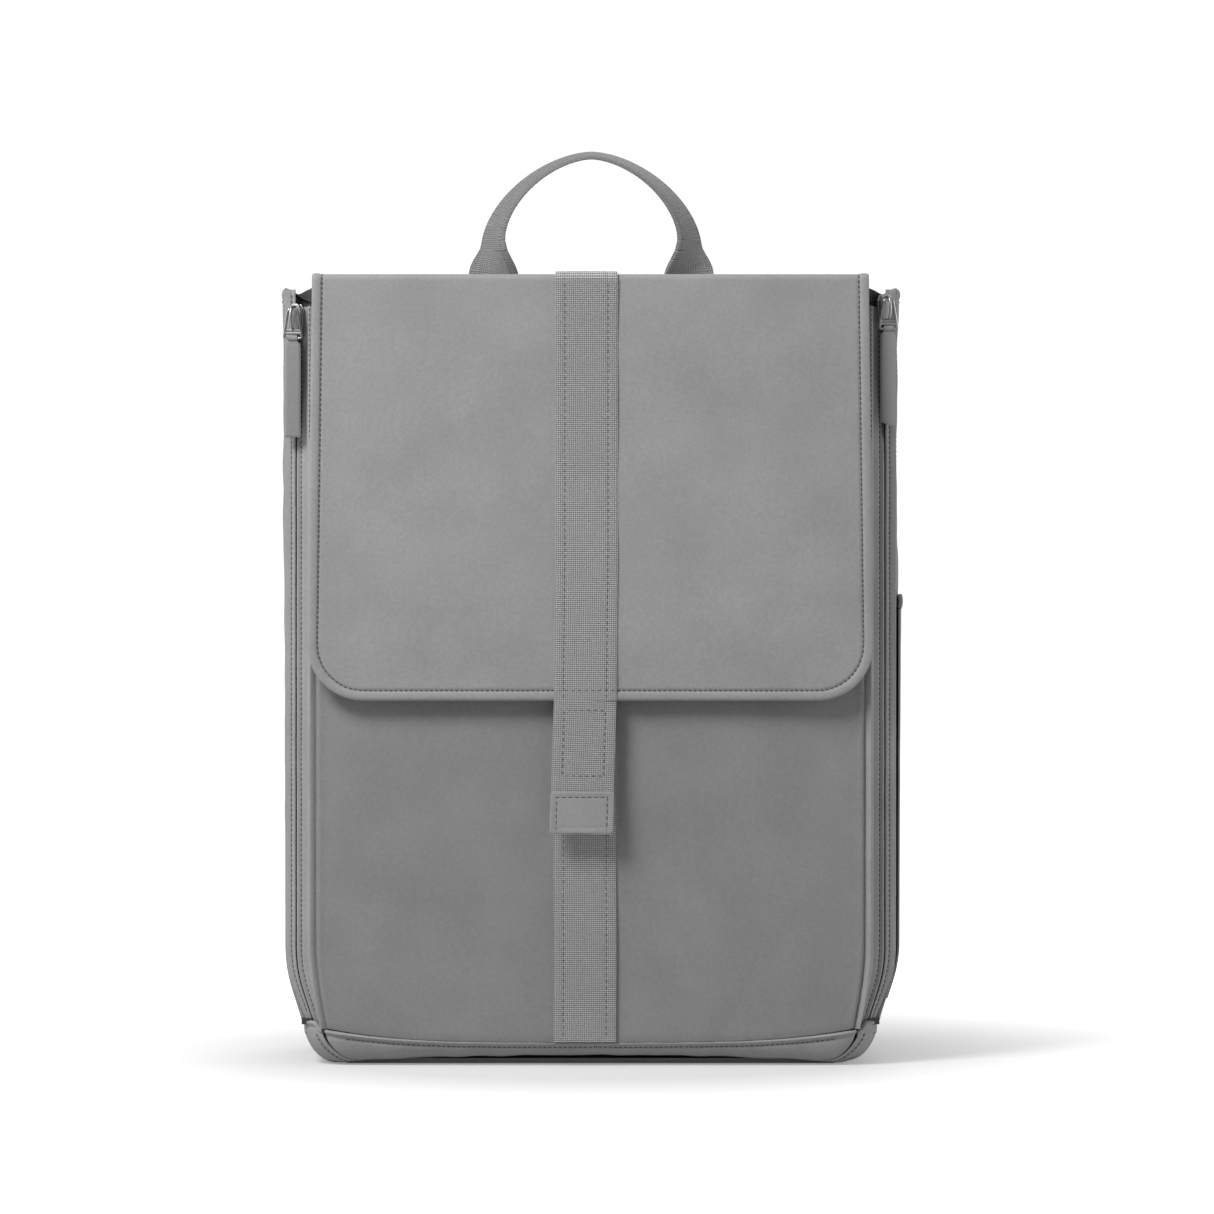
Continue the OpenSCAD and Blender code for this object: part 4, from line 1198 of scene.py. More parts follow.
class BACKPACK_OT_base(Operator):
    """Make the coated band round the base, its corner pieces and their stitches"""

    bl_idname = "backpack.base"
    bl_label = "Base"

    def execute(self, context):
        vs = [0, 0.015, 0.03, 0.05, 0.07, 0.09, 0.11, 0.14, 0.17, 0.2, 0.23, 0.26, 0.3, 0.36]
        vs += steps(0.43, 1, 11)

        def top_at(q):
            return min(seam_z(min(abs(ring_at(q)[0].x), FRONT_HALF)), BASE_H) - SEAM

        def front(k, v):
            q = k * (band_end(v) - SEAM - 0.3)
            dip = -1.3 * bump((1 - abs(k)) * band_end(v), 0, 0.9)
            return band_point(q, v, top_at(q), arch(min(abs(q), CORNER_SEAM - 1)), dip, 0.9, corner_tuck(q))

        ks = [-1, -0.997, -0.993, -0.988] + steps(-0.98, 0.98, 160) + [0.988, 0.993, 0.997, 1]
        obj = lay_grid("base_front", ks, vs, front, 1.8, facing=(0, -1, 0), cloth=(140, 25))
        dress(obj, finish("cloth"), body="bag", instead=["base_band_front"])
        row = []
        for q in steps(-CORNER_SEAM, CORNER_SEAM, 90):
            v = math.asin(BAND_ROW / (top_at(q) - arch(q))) * 2 / math.pi
            row.append((band_point(q, v, top_at(q), arch(q), 0.2, 0.9), Vector((0, -1, 0))))
        rows = [row]
        middle = RING_SIDE - RING_FRONT - BASE_R
        for side in (-1, 1):
            def corner(u, v):
                q = side * mix(band_end(v), middle, u)
                near = u * (middle - band_end(v))
                proud = 0.5 + 0.45 * bump(near, 1.6, 1.3) - 0.35 * bump(near, 4.4, 0.7)
                return band_point(q, v, top_at(q) + 3.0 * ease(near / 6),
                                  mix(arch(min(abs(q), CORNER_SEAM - 1)), 0.8, ease(near / 30)),
                                  proud * ease(v * 4 + 0.4), 0.8, corner_tuck(q))

            us = [0, 0.006, 0.014, 0.022, 0.032, 0.042, 0.052, 0.064] + steps(0.08, 1, 56)
            obj = lay_grid(f"base_corner_cover_{SIDES[side]}", us, vs, corner, 1.8, facing=(side, -1, -0.2),
                           cloth=(100, 25))
            dress(obj, finish("cloth"), body="bag", instead=[f"base_corner_{SIDES[side]}"])
            line = []
            for v in steps(0.1, 0.95, 20):
                q = side * (band_end(v) + 4.4)
                bottom = arch(min(abs(q), CORNER_SEAM - 1))
                line.append((band_point(q, v, top_at(q), bottom, 0.3, 0, corner_tuck(q)), ring_at(q)[1]))
            rows.append(line)
            rows.append([(band_point(side * q, 0.2, top_at(q) + 3.0, 0.8, 0.35, 0, BASE_TUCK),
                          ring_at(side * q)[1]) for q in steps(FRONT_HALF + 9, middle, 40)])

        def back(u, v):
            q = mix(middle + SEAM, 2 * RING_HALF - middle - SEAM, u)
            q = q if q <= RING_HALF else q - 2 * RING_HALF
            return band_point(q, v, BASE_H - SEAM + 3.0, 0.8, 0.3, 0.6, BASE_TUCK)

        obj = lay_grid("base_back", steps(0, 1, 150), vs, back, 1.8, facing=(0, 1, 0), cloth=(430, 25))
        dress(obj, finish("cloth"), body="bag", instead=["base_band_back"])
        for side in (-1, 1):
            rows.append([(band_point(side * q, 0.2, BASE_H - SEAM + 3.0, 0.8, 0.2, 0, BASE_TUCK),
                          ring_at(side * q)[1]) for q in steps(middle, RING_HALF - 0.01, 90)])
        sew("base_stitches", rows)
        return {"FINISHED"}


# ---------- Zips ----------


def zip_point(side, across, out, z):
    """Point beside a corner zip: across it, outwards from it, and its height"""
    x = ZIP_X + across * math.cos(ZIP_TURN) + out * math.sin(ZIP_TURN)
    y = ZIP_Y + across * math.sin(ZIP_TURN) - out * math.cos(ZIP_TURN)
    return Vector((side * x, y, z))


def zip_frame(side, out, z):
    """Matrix that stands a plate on the zip, its outer face away from the bag"""
    across = (zip_point(side, 1, 0, 0) - zip_point(side, 0, 0, 0)).normalized()
    away = (zip_point(side, 0, 1, 0) - zip_point(side, 0, 0, 0)).normalized()
    turn = Matrix((across, -away, Vector((0, 0, 1)))).transposed().to_4x4()
    return Matrix.Translation(zip_point(side, 0, out, z) * MM) @ turn


def zip_foot(point, across):
    """The zip follows the drawn-in foot and runs in behind the top of the corner piece"""
    side = math.copysign(1, point.x)
    shift = foot_in(point.z) + 0.35 * max(0.0, across) * ease((58 - point.z) / 42)
    return Vector((point.x * draw_in(point.z) - side * shift, point.y, point.z))


class BACKPACK_OT_zips(Operator):
    """Make the teeth, the sliders, the wire links and the coated pulls of both corner zips"""

    bl_idname = "backpack.zips"
    bl_label = "Corner Zips"

    def execute(self, context):
        for side in (-1, 1):
            self.tapes(side)
            self.teeth(side)
            self.slider(side)
            self.link(side)
            self.pull(side)
        return {"FINISHED"}

    @staticmethod
    def tapes(side):
        """Coated tapes that meet over the teeth, and the lining tucked in behind their upper ends"""
        word = SIDES[side]
        bottom, top = low(f"zip_tape_{word}").z, BODY_H - 1.0
        halves = []
        for half in (-1, 1):
            def shape(u, z, half=half):
                across = half * mix(0.35, ZIP_SPAN / 2 + 0.3, u)
                out = 0.4 + 0.45 * bump(u, 0.12, 0.12) - 0.3 * bump(u, 0.42, 0.07)
                out += 0.2 * ripple(z, half, 3.7, 25)
                close = 0.5 * ease((z - SLIDER_Z[side] - 2) / 12)
                if half < 0:
                    z = min(z, z - 9.0 * ease((z - BODY_H + 30) / 30))
                point = zip_point(side, across + half * close * (1 - u), out - 2.4 * close * (1 - u), z)
                return zip_foot(point + Vector((0, set_back(z) * (half < 0), 0)), across)
            us = [0, 0.04, 0.08, 0.14, 0.2, 0.28, 0.35, 0.4, 0.44, 0.5, 0.6, 0.75, 0.9, 1]
            halves.append(lay_grid("tape", us, steps(bottom - 6, top, 160), shape, 0.8,
                                   facing=(side * 0.3, -1, 0), cloth=(5.4, 1), rim=0.2))
        dress(join(f"zip_tapes_{word}", halves), finish("cloth"), body="bag",
              instead=[f"zip_tape_{word}"])
        rows = []
        for half in (-1, 1):
            row = []
            for z in steps(bottom + 3, top - (12 if half < 0 else 2), 60):
                place = zip_point(side, half * 2.75, 0.25, z) + Vector((0, set_back(z) * (half < 0), 0))
                row.append((zip_foot(place, half * 2.75), Vector((side * 0.34, -0.94, 0))))
            rows.append(row)
        sew(f"zip_stitches_{word}", rows)

        def tuck(u, v):
            z = mix(BODY_H - 40, BODY_H + 1.4 - 5 * u + 0.7 * ripple(u * 12, side, 3.3, 3), v)
            deep = -5.5 - 1.2 * math.sin(math.pi * u) + 0.6 * ripple(u * 14, z, 8.8 + side, 7)
            return zip_point(side, mix(-8.5, 3.4, u), deep, z)

        dress(lay_grid(f"zip_tuck_{word}", steps(0, 1, 16), steps(0, 1, 30), tuck, 0.8, facing=(0, -1, 0),
                       cloth=(12, 34)), finish("lining"), body="bag")

    @staticmethod
    def teeth(side):
        word = SIDES[side]
        bottom, top = low(f"zip_coil_{word}").z, high(f"zip_coil_{word}").z
        rows = []
        for half in (-1, 1):
            path = []
            for z in steps(bottom + (0.6 if half > 0 else 0), top, 60):
                place = zip_foot(zip_point(side, half * 0.62, -0.75, z), 0)
                path.append((place, zip_point(side, half, 0, 0) - zip_point(side, 0, 0, 0)))
            rows += walk(path, 1.25)
        deselect()
        bpy.ops.mesh.primitive_uv_sphere_add(segments=8, ring_count=4, radius=0.55 * MM)
        obj = bpy.context.object
        for v in obj.data.vertices:
            v.co.x *= 2.0
            v.co.y *= 1.7
        obj.name = obj.data.name = f"zip_teeth_{word}"
        copy_along(obj, rows)
        dress(obj, finish("coil"), body="bag", instead=[f"zip_coil_{word}"])

    @staticmethod
    def slider(side):
        word, z = SIDES[side], SLIDER_Z[side]
        gap, t = 1.6, 1.2
        outline = []
        for a in steps(0, 2 * math.pi, 36)[:-1]:
            wide = 3.5 * mix(0.72, 1.0, ease((math.sin(a) + 1) / 2))
            outline.append((wide * math.copysign(abs(math.cos(a)) ** 0.6, math.cos(a)),
                            7.5 * math.copysign(abs(math.sin(a)) ** 0.75, math.sin(a))))
        parts = [plate("plate", outline, t, 0.35, zip_frame(side, gap + t, z)),
                 plate("plate", outline, t, 0.35, zip_frame(side, -gap, z))]
        for edge in (-1, 1):
            for face in (-1, 1):
                rail = [zip_point(side, edge * 3.0 * mix(0.8, 1, h), face * 1.35, z + mix(-5.5, 5.5, h))
                        for h in steps(0, 1, 6)]
                parts.append(wire("rail", rail, 0.5, sides=2))
        arch_line = []
        for a in steps(0, math.pi, 18):
            arch_line.append(zip_point(side, 0, gap + t - 0.3 + 5.6 * math.sin(a) ** 0.45,
                                       z + 6.0 * math.cos(a)))
        parts.append(wire("bridge", arch_line, 0.8))
        post = [zip_point(side, 0, out, z + 4.5) for out in (-gap - 0.2, gap + 0.2)]
        parts.append(wire("post", post, 0.45, sides=2))
        obj = join(f"zip_slider_{word}", parts)
        dress(obj, finish("metal"), body=f"slider_{word}", instead=[f"slider_{word}"])

    @staticmethod
    def link(side):
        """Letter-A link: a rounded loop of flat wire with a cross bar over the pull's slot"""
        word = SIDES[side]
        lo, hi = extent(f"bail_{word}")
        x = (lo.x + hi.x) / 2
        top_y, low_y = bar_places(word)
        z_top, z_low = hi.z - 0.6, lo.z + 0.6

        def at(dx, h):
            return Vector((x + dx, mix(low_y, top_y, h), mix(z_low, z_top, h)))

        loop = []
        corners = [(-4.7, 0.0), (-2.4, 1.08), (2.4, 1.08), (4.7, 0.0)]
        for n, (dx, h) in enumerate(corners):
            before, after = corners[n - 1], corners[(n + 1) % 4]
            for t in steps(-1, 1, 6):
                other = before if t < 0 else after
                reach = 0.22 * abs(t)
                soft = 0.06 * (1 - abs(t))
                bx = dx + (other[0] - dx) * reach - dx * soft
                bh = h + (other[1] - h) * reach + (0.5 - h) * soft
                loop.append(at(bx, bh))
        parts = [wire("loop", loop, 0.75, closed=True)]
        for h, reach, radius in ((0.2, 4.1, 0.85), (0.3, 3.7, 0.6)):
            parts.append(wire("bar", [at(-reach, h), at(reach, h)], radius))
        obj = join(f"zip_link_{word}", parts)
        dress(obj, finish("metal"), body=f"bail_{word}", instead=[f"bail_{word}"])

    @staticmethod
    def pull(side):
        """Flat coated strap with rounded edges; its top wraps the link's lower bar"""
        word = SIDES[side]
        lo, hi = extent(f"pull_{word}")
        x, y = (lo.x + hi.x) / 2, (lo.y + hi.y) / 2
        axis = hi.z - 1.75
        half, thick = (hi.x - lo.x) / 2, 2.2
        face = y - thick / 2
        slant = 0.0 if side < 0 else math.tan(math.radians(20))

        def shape(k, v):
            end = lo.z + slant * half * (1 - k * side)
            z = mix(end, axis - 2.4, v)
            d = min((1 - abs(k)) * half, abs(z - end), abs(axis - 2.4 - z))
            narrow = 1 - 0.12 * clamp(1 - (axis - 2.4 - z) / 3) ** 2
            sag = 0.5 * math.sin(math.pi * v)
            return x + k * half * narrow, face - sag * 0.4 + 0.35 * bump(d, 0, 0.5), z

        ks = [-1, -0.96, -0.88, -0.76] + steps(-0.6, 0.6, 6) + [0.76, 0.88, 0.96, 1]
        vs = [0, 0.005, 0.015, 0.03] + steps(0.06, 0.96, 24) + [0.98, 0.99, 1]
        strap = lay_grid(f"pull_{word}_strap", ks, vs, shape, thick, facing=(0, -1, 0), rim=0.45)

        def wrap(k, a):
            turn = math.radians(a)
            return (x + k * 2.4, y - 1.7 * math.cos(turn), axis + 1.7 * math.sin(turn))

        loop = lay_grid("wrap", [-1, -0.9, 0, 0.9, 1], steps(-60, 240, 20), wrap, 0.85,
                        cloth=(3, 0.03), rim=0.2)
        face_out(loop)
        necks = []
        for front in (-1, 1):
            def neck(k, v, front=front):
                return (x + k * mix(2.4, half * 0.86, ease(v)), y + front * mix(0.85, 1.1, v),
                        mix(axis - 1.2, axis - 2.9, v))
            necks.append(lay_grid("neck", steps(-1, 1, 6), steps(0, 1, 5), neck, 0.8,
                                  facing=(0, front, 0), rim=0.2))
        obj = join(f"zip_pull_{word}", [strap, loop] + necks)
        dress(obj, finish("patch"), body=f"pull_{word}", instead=[f"pull_{word}"])


def bar_places(word):
    """Y of the link's upper bar in the bridge and of its lower bar in the pull"""
    lo, hi = extent(f"bail_{word}")
    pull = (low(f"pull_{word}").y + high(f"pull_{word}").y) / 2
    ends = (lo.y + 0.6, hi.y - 0.6)
    near = min(ends, key=lambda y: abs(y - pull))
    return (ends[0] if near == ends[1] else ends[1]), near


# ---------- Handle ----------


class BACKPACK_OT_handle(Operator):
    """Make the twisted carry handle with its sewn feet"""

    bl_idname = "backpack.handle"
    bl_label = "Carry Handle"

    def execute(self, context):
        y = (low("handle_feet").y + high("handle_feet").y) / 2
        foot = low("handle_feet").z
        span, shoulder, half, thick = 106.0, 26.5, 14.0, 2.0
        upright, bow = 1.5, 2 / 1.7         # where the twist starts, and the power that squares the arch
        early, twist_top = 64, 80           # the twist at the shoulder and at the top, in degrees
        rise = high("carry_handle").z - LID_Z - half * math.cos(math.radians(twist_top)) - thick / 2
        line = [(-span / 2, z - LID_Z, 0.0) for z in steps(foot, LID_Z + upright, 8)]
        line += [(-span / 2, mix(upright, shoulder, t), early * ease(t)) for t in steps(0, 1, 6)[1:]]
        for a in steps(0, 90, 26)[1:]:
            turn = math.radians(a)
            c, s = max(0.0, math.cos(turn)) ** bow, math.sin(turn) ** bow
            line.append((-span / 2 * c, mix(shoulder, rise, s), mix(early, twist_top, math.sin(turn))))
        line += [(-x, z, -twist) for x, z, twist in reversed(line[:-1])]
        points = [Vector((x, y, LID_Z + z)) for x, z, twist in line]
        gone = [0.0]
        for a, b in zip(points, points[1:]):
            gone.append(gone[-1] + (b - a).length)
        total = gone[-1]

        def at(s):
            n = 0
            while n < len(gone) - 2 and gone[n + 1] < s:
                n += 1
            t = (s - gone[n]) / (gone[n + 1] - gone[n])
            place = points[n].lerp(points[n + 1], t)
            first = points[max(n - 1, 0)] - points[max(n, 1)] if n == 0 else points[n - 1] - points[n + 1]
            last = points[n] - points[min(n + 2, len(points) - 1)]
            along = -(first.normalized().lerp(last.normalized(), t)).normalized()
            twist = math.radians(mix(abs(line[n][2]), abs(line[n + 1][2]), t))
            across = Vector((-along.z, 0, along.x))
            wide = across * math.cos(twist) + Vector((0, 1, 0)) * math.sin(twist)
            return place, wide.cross(along)

        handle = strip("handle_web", total, half, thick,
                       lambda s: (at(s)[0] + at(s)[1] * (thick / 2), at(s)[1]))
        # the carry handle takes the darker copy of the webbing: painted shade
        dress(handle, finish("handle"),
              bend=("bag", "handle", (0, y, LID_Z - 5), (0, y, LID_Z + 2)),
              instead=["carry_handle", "handle_feet"])
        rows = []
        for x in (-span / 2, span / 2):
            face = y + thick / 2 + 0.02
            for dx in (-10, 10):
                rows.append([(Vector((x + dx, face, z)), Vector((0, 1, 0))) for z in (foot + 2, LID_Z - 6)])
            for z in (foot + 2.5, LID_Z - 7):
                rows.append([(Vector((x + dx, face, z)), Vector((0, 1, 0))) for dx in (-10, 10)])
        sew("handle_stitches", rows, slot="webbing", **WEB_STITCH)
        return {"FINISHED"}


# ---------- Back and straps ----------


def plump(obj, cap, voxel=3.0):
    """Blow the closed pad up a little as cloth, no point moving further than cap millimetres"""
    activate(obj)
    obj.data.remesh_voxel_size = voxel * MM
    bpy.ops.object.voxel_remesh()
    start = [v.co.copy() for v in obj.data.vertices]
    bpy.ops.object.modifier_add(type="CLOTH")
    cloth = obj.modifiers[-1]
    cloth.settings.use_pressure = True
    cloth.settings.uniform_pressure_force = 4
    cloth.settings.quality = 4
    cloth.settings.tension_stiffness = 25
    cloth.settings.compression_stiffness = 25
    cloth.settings.effector_weights.gravity = 0
    cloth.point_cache.frame_start, cloth.point_cache.frame_end = 1, 20
    scene = bpy.context.scene
    for frame_number in range(1, 21):
        scene.frame_set(frame_number)
    bpy.ops.object.modifier_apply(modifier=cloth.name)
    scene.frame_set(1)
    for v, place in zip(obj.data.vertices, start):
        moved = v.co - place
        if moved.length > cap * MM:
            v.co = place + moved.normalized() * cap * MM
    modify(obj, "SUBSURF", levels=1, render_levels=1)
    return obj


def upright_pad(name, node, thickness, crown, channels=()):
    """Crowned pad on the back panel in the space of its frame solid"""
    lo, hi = extent(node)
    x0, z0 = (lo.x + hi.x) / 2, (lo.z + hi.z) / 2
    w, h = (hi.x - lo.x) / 2 - 1.5, (hi.z - lo.z) / 2 - 1.5

    def shape(a, r):
        turn = math.radians(a)
        c, s = math.cos(turn), math.sin(turn)
        power = 5.0         # squares the pad's outline
        reach = (abs(c) ** power + abs(s) ** power) ** (-1 / power)
        x, z = c * reach * r, s * reach * r
        rise = (1 - r ** 6) * crown
        return x0 + x * w, lo.y + thickness + rise - crown, z0 + z * h

    rs = [0, 0.2, 0.4, 0.6, 0.75, 0.86, 0.93, 0.97, 1.0]
    pad = lay_grid(name, steps(0, 360, 72), rs, shape, thickness - crown, facing=(0, 1, 0), rim=1.2)
    plump(pad, 1.2)
    for v in pad.data.vertices:
        z = v.co.z / MM
        depth = sum(2.6 * bump(z, c, 2.2) for c in channels)
        if v.co.y / MM > lo.y + thickness * 0.5:
            v.co.y = max(v.co.y - depth * MM, (lo.y + 1) * MM)
        v.co.y = max(v.co.y, (lo.y - 0.1) * MM)
    return pad


PAD_T = 8.6
STRAP_TOP = high("strap_pad_left").z
STRAP_LOW = low("strap_pad_left").z
STRAP_X_TOP = 50.0
STRAP_X_LOW = (low("strap_tail_right").x + high("strap_tail_right").x) / 2
STRAP_T = 8.0
STRAP_W = 62.0
STRAP_WEB = 12.5        # half the width of the straps' webbing


def strap_middle(s):
    hinge, rest = BACK_Y + 3.4, BACK_Y + 14.0
    return Vector((mix(STRAP_X_TOP, STRAP_X_LOW, ease(s)),
                   mix(hinge, rest + 7 * math.sin(math.pi * s), ease(s * 4)),
                   mix(STRAP_TOP, STRAP_LOW, s)))


class BACKPACK_OT_back(Operator):
    """Make the mesh back pads and the padded shoulder straps with their webbing"""

    bl_idname = "backpack.back"
    bl_label = "Back and Straps"

    def execute(self, context):
        for word in ("left", "right"):
            node = f"back_pad_{word}"
            lo, hi = extent(node)
            pad = upright_pad(f"back_cushion_{word}", node, PAD_T, 2.2,
                              [mix(lo.z, hi.z, t) for t in (0.33, 0.67)])
            dress(pad, finish("mesh"), body="bag", instead=[node], angle=60)
        pad = upright_pad("back_cushion_lumbar", "back_pad_lumbar", PAD_T, 2.2)
        dress(pad, finish("mesh"), body="bag", instead=["back_pad_lumbar"], angle=60)
        for side in (-1, 1):
            self.strap(side)
            self.wing(side)
        self.yoke()
        return {"FINISHED"}

    @staticmethod
    def strap(side):
        word = SIDES[side]

        def half(s):
            return STRAP_W / 2 * mix(1, 0.72, s ** 3)

        def face(k, s, out):
            middle = strap_middle(s)
            thick = mix(4.0, STRAP_T, ease(s * 4))
            ends = ease(min(s, 1 - s) * 14) * 0.25 + 0.75
            crown = thick / 2 * (1 - abs(k) ** 4 * 0.45) * ends
            return Vector((side * (middle.x + k * half(s)), middle.y + out * crown, middle.z))

        us = [-1, -0.97, -0.9, -0.8, -0.6, -0.3, 0, 0.3, 0.6, 0.8, 0.9, 0.97, 1]
        ring = [(k, 1) for k in us] + [(k, -1) for k in reversed(us)] + [(us[0], 1)]
        pad = lay_grid(f"strap_cushion_{word}", list(range(len(ring))), steps(0, 1, 60),
                       lambda n, s: face(ring[n][0], s * 0.985 + 0.008, ring[n][1]), 0)
        activate(pad)
        bpy.ops.object.mode_set(mode="EDIT")
        bpy.ops.mesh.select_all(action="SELECT")
        bpy.ops.mesh.region_to_loop()
        bpy.ops.mesh.fill_holes(sides=0)
        bpy.ops.mesh.select_all(action="SELECT")
        bpy.ops.mesh.normals_make_consistent(inside=False)
        bpy.ops.object.mode_set(mode="OBJECT")
        plump(pad, 0.9, 2.6)
        dress(pad, finish("mesh"), body=f"strap_{word}", instead=[f"strap_pad_{word}"], angle=60)
        edge = [face(-1, s, 0) for s in steps(0.01, 0.985, 50)]
        edge += [face(k, 0.985, 0) for k in steps(-1, 1, 12)[1:-1]]
        edge += [face(1, s, 0) for s in steps(0.985, 0.01, 50)]
        bind = wire(f"strap_binding_{word}", edge, 1.5, sides=2)
        dress(bind, finish("tape"), body=f"strap_{word}")
        top_z = STRAP_TOP - 40
        length = top_z - (STRAP_LOW - 8)

        def on_pad(s):
            t = clamp((STRAP_TOP - (top_z - s)) / (STRAP_TOP - STRAP_LOW))
            middle = strap_middle(t)
            return Vector((side * middle.x, middle.y + STRAP_T / 2 + 2.2 - 3.4 * ease((s - length + 12) / 12),
                           top_z - s)), Vector((0, 1, 0))

        dress(strip(f"strap_face_web_{word}", length, STRAP_WEB, 1.4, on_pad, ribs=False),
              finish("dark_webbing"), body=f"strap_{word}")
        lo, hi = extent(f"strap_tail_{word}")
        x = (lo.x + hi.x) / 2
        tail_length = hi.z - lo.z

        def tail(s):
            return Vector((x, hi.y + 1.2 * math.sin(s / tail_length * 3.0), hi.z - s)), Vector((0, 1, 0.02))

        dress(strip(f"strap_end_{word}", tail_length, STRAP_WEB, 1.4, tail, ribs=False),
              finish("dark_webbing"), body=f"strap_{word}", instead=[f"strap_tail_{word}"])
        lo, hi = extent(f"strap_web_{word}")
        upper = Vector((side * STRAP_X_LOW, hi.y, hi.z))
        lower = Vector((hi.x - STRAP_WEB if side > 0 else lo.x + STRAP_WEB, lo.y + 1.5, lo.z))
        run = (lower - upper).length

        def web(s):
            t = s / run
            return upper.lerp(lower, t) + Vector((0, 2.5 * math.sin(math.pi * t), 0)), Vector((0, 1, 0.05))

        dress(strip(f"strap_low_web_{word}", run, STRAP_WEB, 1.4, web, ribs=False),
              finish("dark_webbing"), bend=(f"strap_{word}", "bag", tuple(upper), tuple(lower)),
              instead=[f"strap_web_{word}"])

    @staticmethod
    def wing(side):
        word = SIDES[side]
        node = f"strap_wing_{word}"
        lo, hi = extent(node)
        tip, seam = (lo.x, hi.x) if side > 0 else (hi.x, lo.x)

        def edges(u):
            return mix(lo.z + 6, lo.z, u), mix(hi.z - 17, hi.z, u)

        def shape(u, v):
            x = mix(tip, seam, u)
            z_low, z_high = edges(u)
            d = min(u * 32, v * (z_high - z_low), (1 - v) * (z_high - z_low))
            return x, hi.y + 0.4 * bump(d, 1.5, 1.2) - 0.3 * bump(d, 3.8, 0.7), mix(z_low, z_high, v)

        obj = lay_grid(f"wing_{word}", steps(0, 1, 30), steps(0, 1, 30), shape, 1.9,
                       facing=(0, 1, 0), cloth=(32, 30))
        dress(obj, finish("cloth"), body="bag", instead=[node])
        row = [(Vector((mix(tip, seam, u), hi.y + 0.05, mix(*edges(u), v))), Vector((0, 1, 0)))
               for u, v in ((0.98, 0.1), (0.13, 0.18), (0.13, 0.8), (0.98, 0.91))]
        sew(f"wing_stitches_{word}", [row])

    @staticmethod
    def yoke():
        lo, hi = extent("strap_yoke")

        def shape(u, v):
            x, z = mix(lo.x, hi.x, u), mix(lo.z, hi.z, v)
            d = min(x - lo.x, hi.x - x, z - lo.z, hi.z - z)
            return x, hi.y + 0.3 * bump(d, 1.2, 1.0) - 0.3 * bump(d, 3.2, 0.6), z

        us = [0, 0.005, 0.01, 0.016, 0.022, 0.03] + steps(0.05, 0.95, 40)
        us += [0.97, 0.978, 0.984, 0.99, 0.995, 1]
        obj = lay_grid("strap_band", us, steps(0, 1, 24), shape, 1.9, facing=(0, 1, 0), cloth=(160, 15))
        dress(obj, finish("cloth"), body="bag", instead=["strap_yoke"])
        rows = [[(Vector((x, hi.y, z)), Vector((0, 1, 0))) for x in (lo.x + 3, hi.x - 3)]
                for z in (lo.z + 3.2, hi.z - 3.2)]
        sew("yoke_stitches", rows)


# ---------- Inside ----------


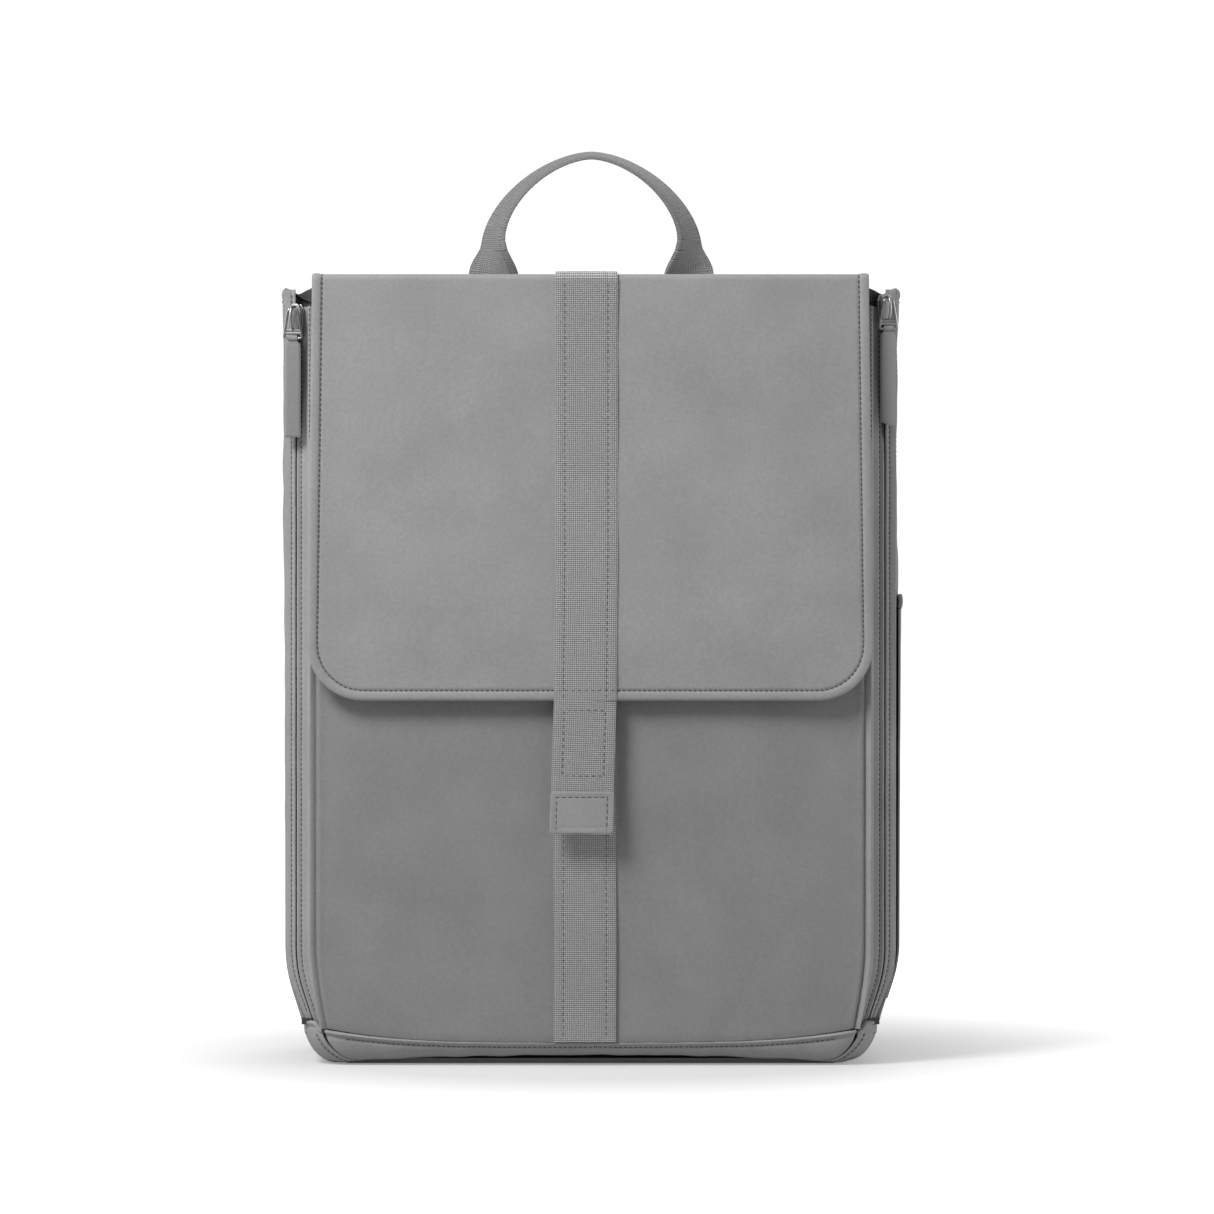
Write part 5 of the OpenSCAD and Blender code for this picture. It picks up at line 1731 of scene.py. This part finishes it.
class BACKPACK_OT_inside(Operator):
    """Make the lining, the laptop divider and the slip pocket, and finish what the cloth hides"""

    bl_idname = "backpack.inside"
    bl_label = "Inside"

    def execute(self, context):
        lo, hi = extent("lining")
        corner, centre = 24.0, (lo + hi) / 2
        half_x, half_y = (hi.x - lo.x) / 2, (hi.y - lo.y) / 2

        def outline(a):
            turn = math.radians(a)
            c, s = math.cos(turn), math.sin(turn)
            t = min(half_x / max(abs(c), 1e-9), half_y / max(abs(s), 1e-9))
            x, y = c * t, s * t
            inner_x, inner_y = half_x - corner, half_y - corner
            if abs(x) > inner_x and abs(y) > inner_y:
                away = Vector((abs(x) - inner_x, abs(y) - inner_y)).normalized() * corner
                x = math.copysign(inner_x + away.x, x)
                y = math.copysign(inner_y + away.y, y)
            return x, y

        def shape(a, v):
            x, y = outline(a)
            if v < 1:
                return centre.x + x * v, centre.y + y * v, lo.z + 0.8
            z = mix(lo.z + 0.8, hi.z, v - 1)
            sag = 0.6 * ripple(a * 2, z, 6.6, 40) * math.sin(math.pi * (v - 1)) - 0.8
            scale = 1 + sag / half_x
            return centre.x + x * scale, centre.y + y * scale, z

        angles = sorted({round(a, 3) for a in steps(0, 360, 120) + [
            math.degrees(math.atan2(sy * (half_y - k), sx * (half_x - corner + k))) % 360
            for sx in (-1, 1) for sy in (-1, 1) for k in (0.0, corner * 0.15, corner * 0.5, corner)]})
        vs = [0, 0.3, 0.6, 0.85, 0.97] + [1 + t for t in steps(0, 1, 36)]
        obj = lay_grid("lining_shell", angles, vs, shape, 0.7, facing=(0, 0, 1), cloth=(2, 380), rim=0)
        dress(obj, finish("lining"), body="bag", instead=["lining"])
        for side in (-1, 1):
            def facing(u, v, side=side):
                y = mix(SIDE_START + 1, SIDE_END + 6, u)
                edge = side_x(clamp((y - SIDE_START) / (SIDE_END - SIDE_START)), BODY_H) - 2.4
                inner_y = clamp((abs(y - centre.y) - (half_y - corner)) / corner)
                inner = half_x - corner * (1 - math.sqrt(max(0.0, 1 - inner_y ** 2))) - 0.6
                x = mix(edge, inner, v)
                return side * x, y, mix(BODY_H - 0.8, hi.z - 0.6, v ** 1.4) - 2.0 * math.sin(math.pi * v)
            dress(lay_grid(f"gusset_facing_{SIDES[side]}", steps(0, 1, 50), steps(0, 1, 8), facing, 0.7,
                           facing=(0, 0, 1), cloth=(112, 14)), finish("lining"), body="bag")
        self.inner_wall("divider_pad", "laptop_divider", 3.8)
        self.inner_wall("slip_pocket_wall", "slip_pocket", 1.8)
        # the base panel and the base piping take the darker shade copy of the cloth: painted shade
        keep = {
            "zip_stops": "coil", "base_panel": "shade",
            "base_board": "plastic", "base_piping": "shade", "frame_sheet": "plastic", "back_foam": "foam",
            "ladder_lock_left": "plastic", "ladder_lock_right": "plastic",
        }
        for node, word in keep.items():
            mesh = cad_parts[node].data
            mesh.materials.clear()
            mesh.materials.append(finish(word))
        return {"FINISHED"}

    @staticmethod
    def inner_wall(name, node, thickness):
        lo, hi = extent(node)

        def shape(u, v):
            z = mix(lo.z, hi.z, v)
            corner = 12 * (1 - math.sqrt(max(0.0, 1 - clamp(1 - (hi.z - z) / 12) ** 2)))
            half = (hi.x - lo.x) / 2 - corner
            roll = 0.5 * bump(hi.z - z, 3, 2.4) - 0.4 * bump(hi.z - z, 7, 0.8)
            return u * half, lo.y - roll + 0.4 * ripple(u * 100, z, 2.8, 60), z

        vs = steps(0, 0.9, 30)
        vs += [1 - t for t in (0.07, 0.05, 0.04, 0.032, 0.025, 0.018, 0.012, 0.007, 0.003, 0)]
        obj = lay_grid(name, steps(-1, 1, 40), vs, shape, thickness, facing=(0, -1, 0), cloth=(136, 300))
        dress(obj, finish("lining"), body="bag", instead=[node])


# ---------- Panel and order of work ----------


PIECES = (
    BACKPACK_OT_stage, BACKPACK_OT_walls, BACKPACK_OT_base, BACKPACK_OT_flap, BACKPACK_OT_webbing,
    BACKPACK_OT_zips, BACKPACK_OT_handle, BACKPACK_OT_back, BACKPACK_OT_inside,
)


class BACKPACK_PT_panel(Panel):
    """Sizes, colours and pieces of the backpack"""

    bl_label = "Baby Gear Backpack"
    bl_idname = "BACKPACK_PT_panel"
    bl_space_type = "VIEW_3D"
    bl_region_type = "UI"
    bl_category = "Backpack"

    def draw(self, context):
        for group in (context.scene.backpack_sizes, context.scene.backpack_colours):
            box = self.layout.box()
            for name in group.__annotations__:
                box.prop(group, name)
        column = self.layout.column()
        for piece in PIECES:
            column.operator(piece.bl_idname)


CLASSES = (BackpackSizes, BackpackColours, *PIECES, BACKPACK_PT_panel)


def register():
    for cls in CLASSES:
        bpy.utils.register_class(cls)
    bpy.types.Scene.backpack_sizes = PointerProperty(type=BackpackSizes)
    bpy.types.Scene.backpack_colours = PointerProperty(type=BackpackColours)


def unregister():
    del bpy.types.Scene.backpack_colours
    del bpy.types.Scene.backpack_sizes
    for cls in reversed(CLASSES):
        bpy.utils.unregister_class(cls)


def main():
    register()
    bpy.ops.backpack.stage()
    bpy.ops.backpack.walls()
    bpy.ops.backpack.base()
    bpy.ops.backpack.flap()
    bpy.ops.backpack.webbing()
    bpy.ops.backpack.zips()
    bpy.ops.backpack.handle()
    bpy.ops.backpack.back()
    bpy.ops.backpack.inside()


if __name__ == "__main__":
    main()
